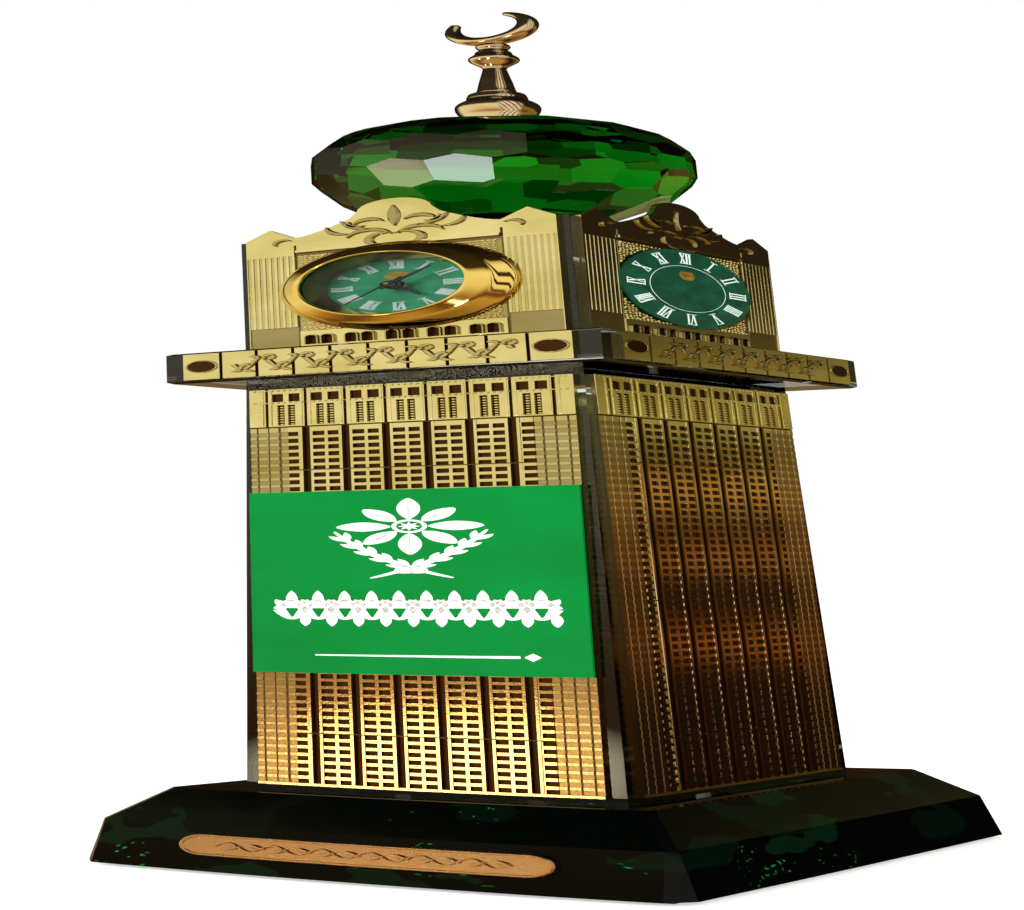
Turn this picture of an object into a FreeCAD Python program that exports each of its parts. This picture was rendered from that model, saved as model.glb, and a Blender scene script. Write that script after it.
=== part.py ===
import FreeCAD, Part
import math
import os
import re
import Sketcher

# Crystal clock-tower souvenir, in millimetres.
# Origin: centre of the underside, +Z up. The real clock and the nameplate face -Y.

Vector = FreeCAD.Vector
Z_AXIS = Vector(0, 0, 1)
SIDES = {"front": 0, "right": 90, "back": 180, "left": 270}

doc = FreeCAD.newDocument("ClockTower")
sheet = doc.addObject("Spreadsheet::Sheet", "dims")
pieces = []


# ---------------------------------------------------------------- driving dimensions
def dimension(alias, value, meaning):
    """One row of the sheet: meaning in column A, the number in column B."""
    row = dimension.row
    sheet.set(f"A{row}", meaning)
    sheet.set(f"B{row}", str(value))
    sheet.setAlias(f"B{row}", alias)
    dimension.row += 1


dimension.row = 1

# base
dimension("pad_thickness", 1.0, "felt pad under the base")
dimension("pad_inset", 2.5, "edge of the pad behind the edge of the base")
dimension("base_half", 31.1, "half width of the base at its underside")
dimension("base_waist_half", 29.5, "half width of the base where the bevel starts")
dimension("base_waist_height", 12.6, "height of the start of the bevel")
dimension("base_top_half", 25.1, "half width of the flat top of the base")
dimension("base_height", 21.0, "height of the top of the base")
dimension("base_corner", 2.0, "cut corner of the base at its underside")
dimension("base_waist_corner", 0.8, "cut corner of the base at the start of the bevel and above")
dimension("nameplate_length", 38.5, "nameplate, end to end")
dimension("nameplate_width", 5.6, "nameplate, across")
dimension("nameplate_thickness", 0.7, "nameplate thickness")
dimension("nameplate_height", 6.9, "middle of the nameplate above the underside of the glass, along the facet")
# shaft
dimension("shaft_base_half", 20.0, "half width of the shaft at its foot")
dimension("shaft_top_half", 19.0, "half width of the shaft at its top")
dimension("shaft_height", 119.5, "height of the shaft")
dimension("plate_thickness", 0.6, "thickness of every etched plate")
dimension("shaft_plate_margin", 0.8, "bare glass beside a shaft plate at the top of the shaft")
dimension("shaft_plate_foot", 1.2, "bare glass below a shaft plate")
dimension("shaft_plate_head", 2.2, "bare glass above a shaft plate")
dimension("etch_depth", 0.2, "depth of the etched lines")
dimension("shaft_bay", 4.6, "spacing of the upright grooves of a shaft plate")
dimension("shaft_groove", 0.9, "width of an upright groove")
dimension("shaft_band", 11.6, "height of the window band at the top of a shaft plate")
dimension("band_window_width", 1.25, "square windows of the band, width")
dimension("band_window_height", 2.2, "square windows of the band, height")
dimension("band_window_gap", 0.75, "between the two windows of a pair")
dimension("banner_thickness", 0.3, "thickness of the enamel banner")
dimension("banner_foot", 32.8, "banner above the foot of the shaft, along the plate")
dimension("banner_height", 52.8, "height of the banner")
# cornice
dimension("cornice_half", 24.4, "half width of the cornice slab")
dimension("cornice_height", 9.5, "thickness of the cornice slab")
dimension("cornice_bevel", 0.5, "small bevel round the cornice slab")
dimension("strip_margin", 2.6, "bare glass at each end of a cornice strip")
dimension("strip_width", 8.0, "height of the cornice strips")
dimension("strip_end", 5.0, "end panel of a cornice strip")
dimension("strip_line", 0.45, "dividing lines of a cornice strip")
dimension("strip_medallion", 1.75, "radius of the sunk medallion of an end panel")
# clock block and its plates
dimension("block_half", 18.95, "half width of the clock block")
dimension("block_height", 36.0, "height of the clock block")
dimension("clock_plate_margin", 1.05, "bare glass beside a clock plate")
dimension("clock_plate_foot", 0.5, "bare glass below a clock plate")
dimension("merlon_half", 3.0, "half width of a corner merlon")
dimension("merlon_rise", 3.2, "point of a merlon above the block")
dimension("pediment_half", 11.9, "half width of the pediment")
dimension("pediment_shoulder", 5.2, "half width of the pediment below its dome")
dimension("pediment_shoulder_rise", 4.6, "height of that place above the block")
dimension("pediment_rise", 9.8, "top of the pediment above the block")
dimension("pilaster_inner", 12.1, "inner edge of a fluted pilaster from the middle of the plate")
dimension("flute_width", 0.5, "width of a flute")
dimension("flute_foot", 7.0, "foot of the flutes above the foot of the plate")
dimension("flute_height", 22.4, "length of the flutes")
dimension("arcade_width", 1.5, "width of an arcade window")
dimension("arcade_height", 2.4, "height of an arcade window")
dimension("arcade_foot", 1.2, "foot of the arcade windows above the foot of the plate")
dimension("clock_height", 18.2, "middle of the dials above the foot of the block")
dimension("printed_dial_radius", 12.3, "radius of the printed dials")
dimension("printed_dial_thickness", 0.3, "thickness of the printed dials")
# seat, ball and finial
dimension("seat_height", 8.2, "height of the crystal collar under the ball")
dimension("seat_foot_radius", 11.0, "collar radius on the block")
dimension("seat_head_radius", 8.6, "collar radius under the ball")
dimension("seat_sides", 16, "facets round the collar")
dimension("ball_radius", 19.2, "radius of the ball over its girdle facets")
dimension("ball_flat", 17.5, "middle of the ball to its bottom flat")
dimension("ball_top_flat", 15.8, "middle of the ball to its top flat")
dimension("ball_crown", 16.3, "middle of the ball to the shallow facets round the top flat")
dimension("ball_facets", 18, "facets in the girdle row")
dimension("finial_foot_radius", 3.6, "finial base, radius where it stands on the ball")
dimension("finial_base_radius", 4.4, "finial base, widest radius")
dimension("finial_base_height", 11.1, "height of the finial base")
dimension("finial_cone_foot", 2.15, "foot radius of the spire's cone")
dimension("finial_cone_head", 1.2, "head radius of the spire's cone")
dimension("finial_cone_height", 8.8, "height of the spire's cone")
dimension("finial_collar_radius", 2.65, "radius of the sharp collar")
dimension("finial_spire_height", 18.0, "height of the whole spire")
dimension("stud_radius", 0.75, "stud that joins the finial base and the spire")
dimension("stud_depth", 4.0, "stud engagement in each piece")
dimension("crescent_radius", 4.25, "middle line radius of the crescent")
dimension("crescent_thick", 1.4, "section radius at the middle of the crescent")
dimension("crescent_thin", 0.55, "section radius at the tips")
dimension("crescent_span", 288, "angle that the crescent covers")
dimension("crescent_turn", 18, "lean of the opening towards -X")
# clock insert
dimension("bore_gap", 1.2, "radius of the blind bore beyond the bezel's skirt")
dimension("bore_depth", 12.0, "depth of the blind bore in the glass")
dimension("slip", 0.04, "radial clearance of the rubber ring in the bore")
dimension("bezel_flange", 1.5, "reach of the bezel beyond the bore")
dimension("bezel_lip", 0.4, "width of the bezel's front lip")
dimension("bezel_height", 3.2, "bezel lip in front of the plate")
dimension("bezel_shoulder", 1.65, "width of the bezel's steep outer slope")
dimension("bezel_fall", 1.0, "fall of the bezel's shallow inner slope")
dimension("bezel_edge", 0.5, "straight edge of the bezel")
dimension("lens_seat", 0.6, "ledge of the bezel over the edge of the lens")
dimension("lens_radius", 10.0, "radius of the lens and the dial")
dimension("lens_thickness", 0.9, "thickness of the lens")
dimension("lens_setback", 0.4, "lens behind the lip")
dimension("skirt_wall", 0.9, "wall of the bezel's skirt")
dimension("skirt_depth", 3.0, "bezel skirt behind the plate")
dimension("ring_wall", 1.8, "width of the sloping ring between lens and dial")
dimension("dial_setback", 0.1, "front of the dial behind the plate front")
dimension("dial_thickness", 0.4, "thickness of the clock dial")
dimension("case_depth", 8.0, "depth of the movement case behind the dial")
dimension("case_wall", 0.8, "wall of the movement case")
dimension("grip_width", 3.6, "width of the rubber grip ring")
dimension("grip_wall", 0.9, "thickness of the rubber grip ring")
dimension("cover_thickness", 0.8, "movement cover")
# movement
dimension("gap", 0.06, "running clearance of an arbor")
dimension("second_arbor_radius", 0.3, "arbor of the second hand")
dimension("cannon_radius", 0.62, "outer radius of the cannon tube")
dimension("hour_tube_radius", 0.95, "outer radius of the hour tube")
dimension("wheel_thickness", 0.35, "thickness of a wheel")
dimension("pinion_length", 0.8, "length of a pinion")
dimension("third_centre", 4.6, "third arbor from the middle")
dimension("fifth_centre", 4.6, "fifth arbor from the middle")
dimension("rotor_centre", 2.9, "rotor from the fifth arbor")
dimension("motion_centre", 3.2, "motion wheel from the middle")
dimension("rotor_radius", 1.1, "radius of the rotor magnet")
dimension("third_angle", 200, "direction of the third arbor, anticlockwise from +X seen from the front")
dimension("fifth_angle", 100, "direction of the fifth arbor")
dimension("rotor_angle", 40, "direction of the rotor from the fifth arbor")
dimension("motion_angle", 325, "direction of the motion wheel")
dimension("knob_angle", 300, "direction of the setting stem from the motion wheel")
dimension("bridge_thickness", 0.4, "thickness of the train bridge")
dimension("bridge_depth", 5.8, "front of the train bridge behind the plate front")
dimension("stem_radius", 0.45, "radius of the setting stem")
dimension("battery_radius", 3.4, "radius of the button cell")
dimension("battery_height", 2.1, "height of the button cell")
dimension("cell_across", 5.6, "button cell to the right of the middle")
dimension("cell_up", 2.0, "button cell above the middle")
dimension("contact_width", 1.2, "width of the battery contact")
dimension("contact_thickness", 0.35, "thickness of the battery contact")
dimension("board_length", 6.8, "length of the circuit board")
dimension("board_width", 5.0, "width of the circuit board")
dimension("board_thickness", 0.5, "thickness of the circuit board")
dimension("board_edge", 7.4, "left edge of the board from the middle")
dimension("board_drop", 2.2, "upper edge of the board below the middle")
dimension("coil_radius", 0.9, "radius of the winding")
dimension("coil_length", 5.5, "length of the winding")
dimension("knob_radius", 1.6, "radius of the setting knob")
dimension("hand_thickness", 0.2, "thickness of the hands")
dimension("hour_hand_length", 4.6, "length of the hour hand")
dimension("minute_hand_length", 6.8, "length of the minute hand")
dimension("second_hand_length", 7.4, "length of the second hand")
doc.recompute()


# Sizes that follow others. A formula may use a name further down the list.
FOLLOWING = {
    "shaft_plate_width": "(2 * (shaft_top_half - shaft_plate_margin))",
    "strip_length": "(2 * (cornice_half - strip_margin))",
    "clock_plate_half": "(block_half - clock_plate_margin)",
    "bezel_radius": "(bore_radius + bezel_flange)",
    "bore_radius": "(lens_radius + skirt_wall + bore_gap)",
    "bezel_lip_radius": "(opening_radius + bezel_lip)",
    "opening_radius": "(lens_radius - lens_seat)",
    "ring_inner_radius": "(lens_radius - ring_wall)",
}


def value(expression):
    """The number that an expression on the sheet gives."""
    return float(sheet.evalExpression(expression))


def on_sheet(text):
    """Expressions name cells by their aliases and may name sizes that follow others.

    The following sizes become their formulas, and every alias gets the sheet's name.
    """
    for name, formula in FOLLOWING.items():
        text = re.sub(rf"(?<![\w.]){name}(?!\w)", formula, text)
    for alias in sorted(on_sheet.aliases, key=len, reverse=True):
        text = on_sheet.patterns[alias].sub("dims." + alias, text)
    return text


on_sheet.aliases = [sheet.getAlias(f"B{row}") for row in range(1, dimension.row)]
on_sheet.patterns = {a: re.compile(r"(?<![\w.])" + a + r"(?!\w)") for a in on_sheet.aliases}


def size(text):
    """The number that a text with plain aliases gives."""
    return value(on_sheet(text))


# ---------------------------------------------------------------- heights up the tower
BASE_TOP = "base_height"
SHAFT_TOP = "(base_height + shaft_height)"
CORNICE_TOP = "(base_height + shaft_height + cornice_height)"
BLOCK_TOP = "(base_height + shaft_height + cornice_height + block_height)"
SEAT_TOP = "(base_height + shaft_height + cornice_height + block_height + seat_height)"
BALL_TOP = ("(base_height + shaft_height + cornice_height + block_height + seat_height"
            " + ball_flat + ball_top_flat)")
CLOCK_Z = "(base_height + shaft_height + cornice_height + clock_height)"
PLATE_FRONT = "(block_half + plate_thickness)"
SHAFT_TILT = "atan((shaft_base_half - shaft_top_half) / shaft_height)"
FACET_TILT = "atan((base_half - base_waist_half) / (base_waist_height - pad_thickness))"


# ---------------------------------------------------------------- helpers for the document
def vector(x, y, z):
    return f"create(<<vector>>; {x}; {y}; {z})"


def placement(x, y, z, axis=(0, 0, 1), angle="0"):
    """The text of a placement: a turn about an axis, then a move."""
    turn = f"create(<<rotation>>; {vector(*axis)}; {angle})"
    return f"create(<<placement>>; {vector(x, y, z)}; {turn})"


def register(piece, label, place=None):
    """Give a piece its label and its bound placement, and put it on the list to write."""
    piece.Label = label
    if place:
        piece.setExpression("Placement", on_sheet(place))
    pieces.append(piece)
    return piece


def new_body(name):
    return doc.addObject("PartDesign::Body", name + "_body")


def new_sketch(body, name, role="XY_Plane", offset=None):
    """A sketch on one of the body's own origin planes, moved off it when an offset is given."""
    sketch = body.newObject("Sketcher::SketchObject", name)
    plane = [item for item in body.Origin.OriginFeatures if item.Role == role][0]
    sketch.AttachmentSupport = [(plane, "")]
    sketch.MapMode = "FlatFace"
    if offset:
        sketch.setExpression("AttachmentOffset.Base.z", on_sheet(offset))
    return sketch


def bind(sketch, kind, first, expression, label):
    """Add one dimensional constraint and tie it to the sheet."""
    index = sketch.addConstraint(Sketcher.Constraint(kind, *first, size(expression)))
    sketch.renameConstraint(index, label)
    sketch.setExpression(f"Constraints.{label}", on_sheet(expression))


def polygon(sketch, corners, arcs=None, name="p"):
    """Closed outline through corners given as pairs of expressions.

    Each corner is held by its two distances from the sketch's origin. arcs maps the number of
    a side to (radius expression, +1 or -1 for the side on which its centre lies).
    """
    arcs = arcs or {}
    points = [Vector(size(x), size(y), 0) for x, y in corners]
    starts = []
    for i, start in enumerate(points):
        end = points[(i + 1) % len(points)]
        if i not in arcs:
            starts.append((sketch.addGeometry(Part.LineSegment(start, end)), 1, 2))
            continue
        radius, side = size(arcs[i][0]), arcs[i][1]
        chord = end - start
        middle = (start + end) * 0.5
        normal = Vector(-chord.y, chord.x, 0).normalize() * side
        centre = middle + normal * math.sqrt(radius ** 2 - (chord.Length / 2) ** 2)
        crown = centre - normal * radius
        geometry = sketch.addGeometry(Part.Arc(start, crown, end))
        starts.append((geometry, 1, 2) if side > 0 else (geometry, 2, 1))
    for i, (geometry, first, last) in enumerate(starts):
        following = starts[(i + 1) % len(starts)]
        sketch.addConstraint(Sketcher.Constraint("Coincident", geometry, last, following[0], following[1]))
        x, y = corners[i]
        bind(sketch, "DistanceX", (-1, 1, geometry, first), x, f"{name}{i}x")
        bind(sketch, "DistanceY", (-1, 1, geometry, first), y, f"{name}{i}y")
        if i in arcs:
            bind(sketch, "Radius", (geometry,), arcs[i][0], f"{name}{i}r")


def circle(sketch, radius, x="0", y="0", name="c"):
    """A circle held by its radius and its centre."""
    where = Vector(size(x), size(y), 0)
    geometry = sketch.addGeometry(Part.Circle(where, Z_AXIS, size(radius)))
    bind(sketch, "Radius", (geometry,), radius, name + "r")
    bind(sketch, "DistanceX", (-1, 1, geometry, 3), x, name + "x")
    bind(sketch, "DistanceY", (-1, 1, geometry, 3), y, name + "y")


def rectangle(sketch, left, bottom, right, top, name="q"):
    polygon(sketch, [(left, bottom), (right, bottom), (right, top), (left, top)], name=name)


def pad(body, sketch, length, reverse=False, name="pad"):
    feature = body.newObject("PartDesign::Pad", name)
    feature.Profile = sketch
    feature.Reversed = reverse
    feature.setExpression("Length", on_sheet(length))
    return feature


def pocket(body, sketch, depth, name="pocket"):
    """Cut a sketch into the body and make sure that it removes material."""
    doc.recompute()
    before = body.Shape.Volume
    feature = body.newObject("PartDesign::Pocket", name)
    feature.Profile = sketch
    feature.setExpression("Length", on_sheet(depth))
    doc.recompute()
    if body.Shape.Volume > before - 1e-6:
        feature.Reversed = True
        doc.recompute()
    if body.Shape.Volume > before - 1e-6:
        raise RuntimeError("a pocket cuts nothing: " + body.Name)
    return feature


def turned(name, outline, place, arcs=None):
    """A turned piece: its outline as (radius, height) pairs, revolved about the sketch's upright."""
    body = new_body(name)
    sketch = new_sketch(body, name + "_outline", "XZ_Plane")
    polygon(sketch, outline, arcs)
    turn = body.newObject("PartDesign::Revolution", name + "_turn")
    turn.Profile = sketch
    turn.ReferenceAxis = (sketch, ["V_Axis"])
    turn.Angle = 360
    return register(body, name, place)


def facing_out(x, depth, z):
    """Placement of a turned piece of the clock: its height runs inwards (+Y) from the plate's front."""
    return placement(x, f"-{PLATE_FRONT} + {depth}", z, (1, 0, 0), "-90")


# ---------------------------------------------------------------- base
def octagon(half, corner):
    """Corners of a square with its corners cut."""
    inner = f"({half} - {corner})"
    return [(inner, f"-{half}"), (half, f"-{inner}"), (half, inner), (inner, half),
            (f"-{inner}", half), (f"-{half}", inner), (f"-{half}", f"-{inner}"), (f"-{inner}", f"-{half}")]


def make_base():
    body = new_body("base_block")
    levels = [("pad_thickness", "base_half", "base_corner"),
              ("base_waist_height", "base_waist_half", "base_waist_corner"),
              ("base_height", "base_top_half", "base_waist_corner")]
    sketches = []
    for number, (height, half, corner) in enumerate(levels):
        sketch = new_sketch(body, f"base_level_{number}", offset=height)
        polygon(sketch, octagon(half, corner))
        sketches.append(sketch)
    loft = body.newObject("PartDesign::AdditiveLoft", "base_loft")
    loft.Profile = sketches[0]
    loft.Sections = sketches[1:]
    loft.Ruled = True
    register(body, "base_block")

    felt = doc.addObject("Part::Box", "felt")
    for side in ("Length", "Width"):
        felt.setExpression(side, on_sheet("2 * (base_half - pad_inset)"))
    felt.setExpression("Height", on_sheet("pad_thickness"))
    register(felt, "base_pad", placement("-(base_half - pad_inset)", "-(base_half - pad_inset)", "0"))


def make_nameplate():
    """A plate with round ends, lying on the sloping front facet of the base."""
    body = new_body("nameplate")
    sketch = new_sketch(body, "nameplate_outline")
    straight = "(nameplate_length / 2 - nameplate_width / 2)"
    half = "(nameplate_width / 2)"
    polygon(sketch, [(f"-{straight}", f"-{half}"), (straight, f"-{half}"), (straight, half), (f"-{straight}", half)],
            {1: (half + " * 1.0001", 1), 3: (half + " * 1.0001", 1)})
    pad(body, sketch, "nameplate_thickness")
    border = new_sketch(body, "nameplate_border", offset="nameplate_thickness")
    for inset, name in (("0.45", "outer"), ("0.75", "inner")):
        run = f"({straight} - 1)"
        rise = f"({half} - {inset})"
        rectangle(border, f"-{run} - 0.3 + {inset}", f"-{rise}", f"{run} + 0.3 - {inset}", rise, name)
    pocket(body, border, "etch_depth")
    standing = placement("0", "-base_half", "pad_thickness", (1, 0, 0), f"90 deg - {FACET_TILT}")
    register(body, "nameplate", f"{standing} * {placement('0', 'nameplate_height', '0')}")


# ---------------------------------------------------------------- shaft
def square_sketch(body, name, height, half):
    sketch = new_sketch(body, name, offset=height)
    rectangle(sketch, f"-{half}", f"-{half}", half, half)
    return sketch


def make_shaft():
    body = new_body("shaft_core")
    foot = square_sketch(body, "shaft_foot", BASE_TOP, "shaft_base_half")
    head = square_sketch(body, "shaft_head", SHAFT_TOP, "shaft_top_half")
    loft = body.newObject("PartDesign::AdditiveLoft", "shaft_loft")
    loft.Profile = foot
    loft.Sections = [head]
    loft.Ruled = True
    register(body, "shaft_core")


def on_shaft(turn, up, out="0"):
    """Placement on a leaning side of the shaft: up along the side and out from the glass."""
    side = placement("0", "0", "0", (0, 0, 1), str(turn))
    lean = placement("0", "-shaft_base_half", BASE_TOP, (1, 0, 0), f"90 deg - {SHAFT_TILT}")
    return f"{side} * {lean} * {placement('0', up, out)}"


def make_shaft_plate(side, turn):
    """Etched plate: six upright grooves, and a band of paired windows along its top."""
    body = new_body("shaft_plate_" + side)
    length = "(shaft_height - shaft_plate_foot - shaft_plate_head)"
    outline = new_sketch(body, "outline_" + side)
    rectangle(outline, "-shaft_plate_width / 2", "0", "shaft_plate_width / 2", length)
    pad(body, outline, "plate_thickness")
    grooves = new_sketch(body, "grooves_" + side, offset="plate_thickness")
    for number in range(6):
        middle = f"(shaft_bay * {number - 2.5})"
        rectangle(grooves, f"{middle} - shaft_groove / 2", "1", f"{middle} + shaft_groove / 2",
                  f"{length} - shaft_band", f"g{number}")
    pocket(body, grooves, "etch_depth")
    windows = new_sketch(body, "windows_" + side, offset="plate_thickness")
    for number in range(7):
        for hand in (-1, 1):
            middle = f"(shaft_bay * {number - 3} + {hand} * (band_window_gap + band_window_width) / 2)"
            rectangle(windows, f"{middle} - band_window_width / 2", f"{length} - 1.4 - band_window_height",
                      f"{middle} + band_window_width / 2", f"{length} - 1.4", f"w{number}{'lr'[hand > 0]}")
    pocket(body, windows, "etch_depth")
    register(body, "shaft_plate_" + side, on_shaft(turn, "shaft_plate_foot"))


def make_banner():
    banner = doc.addObject("Part::Box", "banner")
    banner.setExpression("Length", on_sheet("shaft_plate_width"))
    banner.setExpression("Width", on_sheet("banner_height"))
    banner.setExpression("Height", on_sheet("banner_thickness"))
    corner = placement("-shaft_plate_width / 2", "0", "0")
    register(banner, "banner_panel", f"{on_shaft(0, 'banner_foot', 'plate_thickness')} * {corner}")


# ---------------------------------------------------------------- cornice
def make_cornice():
    body = new_body("cornice_slab")
    sketch = square_sketch(body, "cornice_square", SHAFT_TOP, "cornice_half")
    slab = pad(body, sketch, "cornice_height")
    doc.recompute()
    flats = [f"Face{number + 1}" for number, face in enumerate(slab.Shape.Faces)
             if abs(face.normalAt(0, 0).z) > 0.9]
    bevel = body.newObject("PartDesign::Chamfer", "cornice_chamfer")
    bevel.Base = (slab, flats)
    bevel.setExpression("Size", on_sheet("cornice_bevel"))
    register(body, "cornice_slab")


def make_cornice_strip(side, turn):
    """Etched strip: a round sunk medallion in each end panel and lines between the panels."""
    body = new_body("cornice_strip_" + side)
    outline = new_sketch(body, "strip_" + side)
    rectangle(outline, "-strip_length / 2", "-strip_width / 2", "strip_length / 2", "strip_width / 2")
    pad(body, outline, "plate_thickness")
    lines = new_sketch(body, "lines_" + side, offset="plate_thickness")
    for number in range(8):
        middle = f"((strip_length - 2 * strip_end) * {(number - 3.5) / 7})"
        rectangle(lines, f"{middle} - strip_line / 2", "-strip_width / 2 + 0.3", f"{middle} + strip_line / 2",
                  "strip_width / 2 - 0.3", f"l{number}")
    for hand in (-1, 1):
        circle(lines, "strip_medallion", f"{hand} * (strip_length - strip_end) / 2", "0", "m" + "lr"[hand > 0])
    pocket(body, lines, "etch_depth")
    place = placement("0", "0", "0", (0, 0, 1), str(turn))
    stand = placement("0", "-cornice_half", f"{SHAFT_TOP} + cornice_height / 2", (1, 0, 0), "90")
    register(body, "cornice_strip_" + side, f"{place} * {stand}")


# ---------------------------------------------------------------- clock block and its plates
def make_block():
    body = new_body("clock_block")
    sketch = square_sketch(body, "block_square", CORNICE_TOP, "block_half")
    pad(body, sketch, "block_height")
    bore = new_sketch(body, "block_bore", "XZ_Plane", "block_half")
    circle(bore, "bore_radius", "0", CLOCK_Z)
    pocket(body, bore, "bore_depth")
    register(body, "clock_block")


def make_clock_plate(side, turn):
    """Etched plate with a domed pediment between two pointed merlons."""
    body = new_body("clock_plate_" + side)
    outline = new_sketch(body, "clock_outline_" + side)
    top = "(block_height - clock_plate_foot)"
    right = [("clock_plate_half", "0"), ("clock_plate_half", top),
             ("clock_plate_half - merlon_half", f"{top} + merlon_rise"),
             ("clock_plate_half - 2 * merlon_half", top),
             ("pediment_half", top),
             ("pediment_shoulder", f"{top} + pediment_shoulder_rise"),
             ("pediment_shoulder - 0.9", f"{top} + pediment_shoulder_rise + 1.9")]
    if size("clock_plate_half - 2 * merlon_half - pediment_half") < 0.02:
        right.pop(4)
    dome = len(right) - 1
    left = [(f"-({x})", z) for x, z in reversed(right)]
    across, up = "(pediment_shoulder - 0.9)", "(pediment_rise - pediment_shoulder_rise - 1.9)"
    arcs = {dome: (f"({across}^2 + {up}^2) / (2 * {up})", 1),
            dome - 2: ("pediment_half * 0.75", -1),
            dome + 2: ("pediment_half * 0.75", -1)}
    polygon(outline, right + left, arcs)
    pad(body, outline, "plate_thickness")
    etch = new_sketch(body, "clock_etch_" + side, offset="plate_thickness")
    for hand in (-1, 1):
        for number in range(5):
            middle = f"{hand} * (pilaster_inner + (clock_plate_half - pilaster_inner) * {(number + 0.5) / 5})"
            rectangle(etch, f"{middle} - flute_width / 2", "flute_foot", f"{middle} + flute_width / 2",
                      "flute_foot + flute_height", f"f{number}{'lr'[hand > 0]}")
    for number in range(5):
        for hand in (-1, 1):
            middle = f"((number_step * {number - 2}) + {hand} * 0.62 * arcade_width)"
            middle = middle.replace("number_step", "(pilaster_inner * 2 / 5.1)")
            rectangle(etch, f"{middle} - arcade_width / 2.8", "arcade_foot", f"{middle} + arcade_width / 2.8",
                      "arcade_foot + arcade_height", f"a{number}{'lr'[hand > 0]}")
    pocket(body, etch, "etch_depth")
    if side == "front":
        opening = new_sketch(body, "clock_opening", offset="plate_thickness")
        circle(opening, "bore_radius", "0", "clock_height - clock_plate_foot")
        pocket(body, opening, "plate_thickness")
    place = placement("0", "0", "0", (0, 0, 1), str(turn))
    stand = placement("0", "-block_half", f"{CORNICE_TOP} + clock_plate_foot", (1, 0, 0), "90")
    register(body, "clock_plate_" + side, f"{place} * {stand}")


def make_printed_dial(side, turn):
    disc = doc.addObject("Part::Cylinder", "dial_disc_" + side)
    disc.setExpression("Radius", on_sheet("printed_dial_radius"))
    disc.setExpression("Height", on_sheet("printed_dial_thickness"))
    place = placement("0", "0", "0", (0, 0, 1), str(turn))
    stand = placement("0", f"-{PLATE_FRONT}", CLOCK_Z, (1, 0, 0), "90")
    register(disc, "printed_dial_" + side, f"{place} * {stand}")


# ---------------------------------------------------------------- seat, ball and finial
def make_seat():
    """Faceted crystal collar: a many-sided prism drawn in towards the ball."""
    body = new_body("ball_seat")
    count = int(size("seat_sides"))
    sketches = []
    for level, (height, radius) in enumerate(((BLOCK_TOP, "seat_foot_radius"), (SEAT_TOP, "seat_head_radius"))):
        sketch = new_sketch(body, f"seat_level_{level}", offset=height)
        angles = [360.0 * number / count for number in range(count)]
        polygon(sketch, [(f"{radius} * cos({a})", f"{radius} * sin({a})") for a in angles])
        sketches.append(sketch)
    loft = body.newObject("PartDesign::AdditiveLoft", "seat_loft")
    loft.Profile = sketches[0]
    loft.Sections = [sketches[1]]
    loft.Ruled = True
    register(body, "ball_seat")


def make_ball():
    """Cut ball: rows of flat facets, each tangent to one sphere, with flats at the top and bottom."""
    radius = size("ball_radius")
    flat = size("ball_flat")
    girdle = int(size("ball_facets"))
    reach = 3 * radius
    top = size("ball_top_flat")
    solid = Part.makeBox(reach, reach, flat + top, Vector(-reach / 2, -reach / 2, -flat))
    # latitude, number of facets, share of a facet that the row is turned by, distance from the middle
    rows = [(0, girdle, 0.0, radius), (22, girdle, 0.5, radius), (-22, girdle, 0.5, radius),
            (-42, girdle - 4, 0.0, radius), (42, girdle - 4, 0.0, radius * 0.975),
            (66, girdle // 2, 0.5, size("ball_crown"))]
    for latitude, count, stagger, distance in rows:
        for number in range(count):
            around = math.radians(360.0 * (number + stagger) / count)
            tilt = math.radians(latitude)
            normal = Vector(math.cos(tilt) * math.cos(around), math.cos(tilt) * math.sin(around), math.sin(tilt))
            waste = Part.makeBox(reach, reach, reach, Vector(-reach / 2, -reach / 2, 0))
            waste.Placement = FreeCAD.Placement(normal * distance, FreeCAD.Rotation(Z_AXIS, normal))
            solid = solid.cut(waste)
    ball = doc.addObject("Part::Feature", "cut_ball")
    ball.Shape = solid
    register(ball, "crystal_ball", placement("0", "0", f"{SEAT_TOP} + ball_flat"))


def make_finial():
    turned("finial_base", [
        ("stud_radius", "finial_base_height"), ("stud_radius", "finial_base_height - stud_depth"),
        ("0", "finial_base_height - stud_depth"), ("0", "0"),
        ("finial_foot_radius", "0"),
        ("finial_base_radius", "finial_base_height * 0.54"),
        ("finial_base_radius * 0.72", "finial_base_height * 0.82"),
        ("finial_base_radius * 0.72", "finial_base_height * 0.94"),
        ("finial_base_radius * 0.62", "finial_base_height")],
        placement("0", "0", BALL_TOP),
        {4: ("finial_base_height * 0.5", 1), 5: ("finial_base_height * 0.5", 1)})
    foot = f"({BALL_TOP} + finial_base_height)"
    cone = "(0.6 + finial_cone_height)"
    turned("finial_spire", [
        ("0", "stud_depth"), ("stud_radius", "stud_depth"), ("stud_radius", "0"),
        ("finial_cone_foot", "0"), ("finial_cone_foot", "0.6"),
        ("finial_cone_head", cone),
        ("finial_collar_radius", f"{cone} + 2.7"),
        ("finial_collar_radius * 0.74", f"{cone} + 4.4"),
        ("finial_collar_radius * 0.74", f"{cone} + 5.0"),
        ("finial_collar_radius * 0.58", f"{cone} + 5.8"),
        ("finial_collar_radius * 0.7", f"{cone} + 6.9"),
        ("finial_cone_head", f"{cone} + 7.9"),
        ("finial_cone_head * 0.85", "finial_spire_height"),
        ("0", "finial_spire_height")],
        placement("0", "0", foot))
    stud = doc.addObject("Part::Cylinder", "stud")
    stud.setExpression("Radius", on_sheet("stud_radius"))
    stud.setExpression("Height", on_sheet("2 * stud_depth"))
    register(stud, "finial_stud", placement("0", "0", f"{foot} - stud_depth"))


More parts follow.
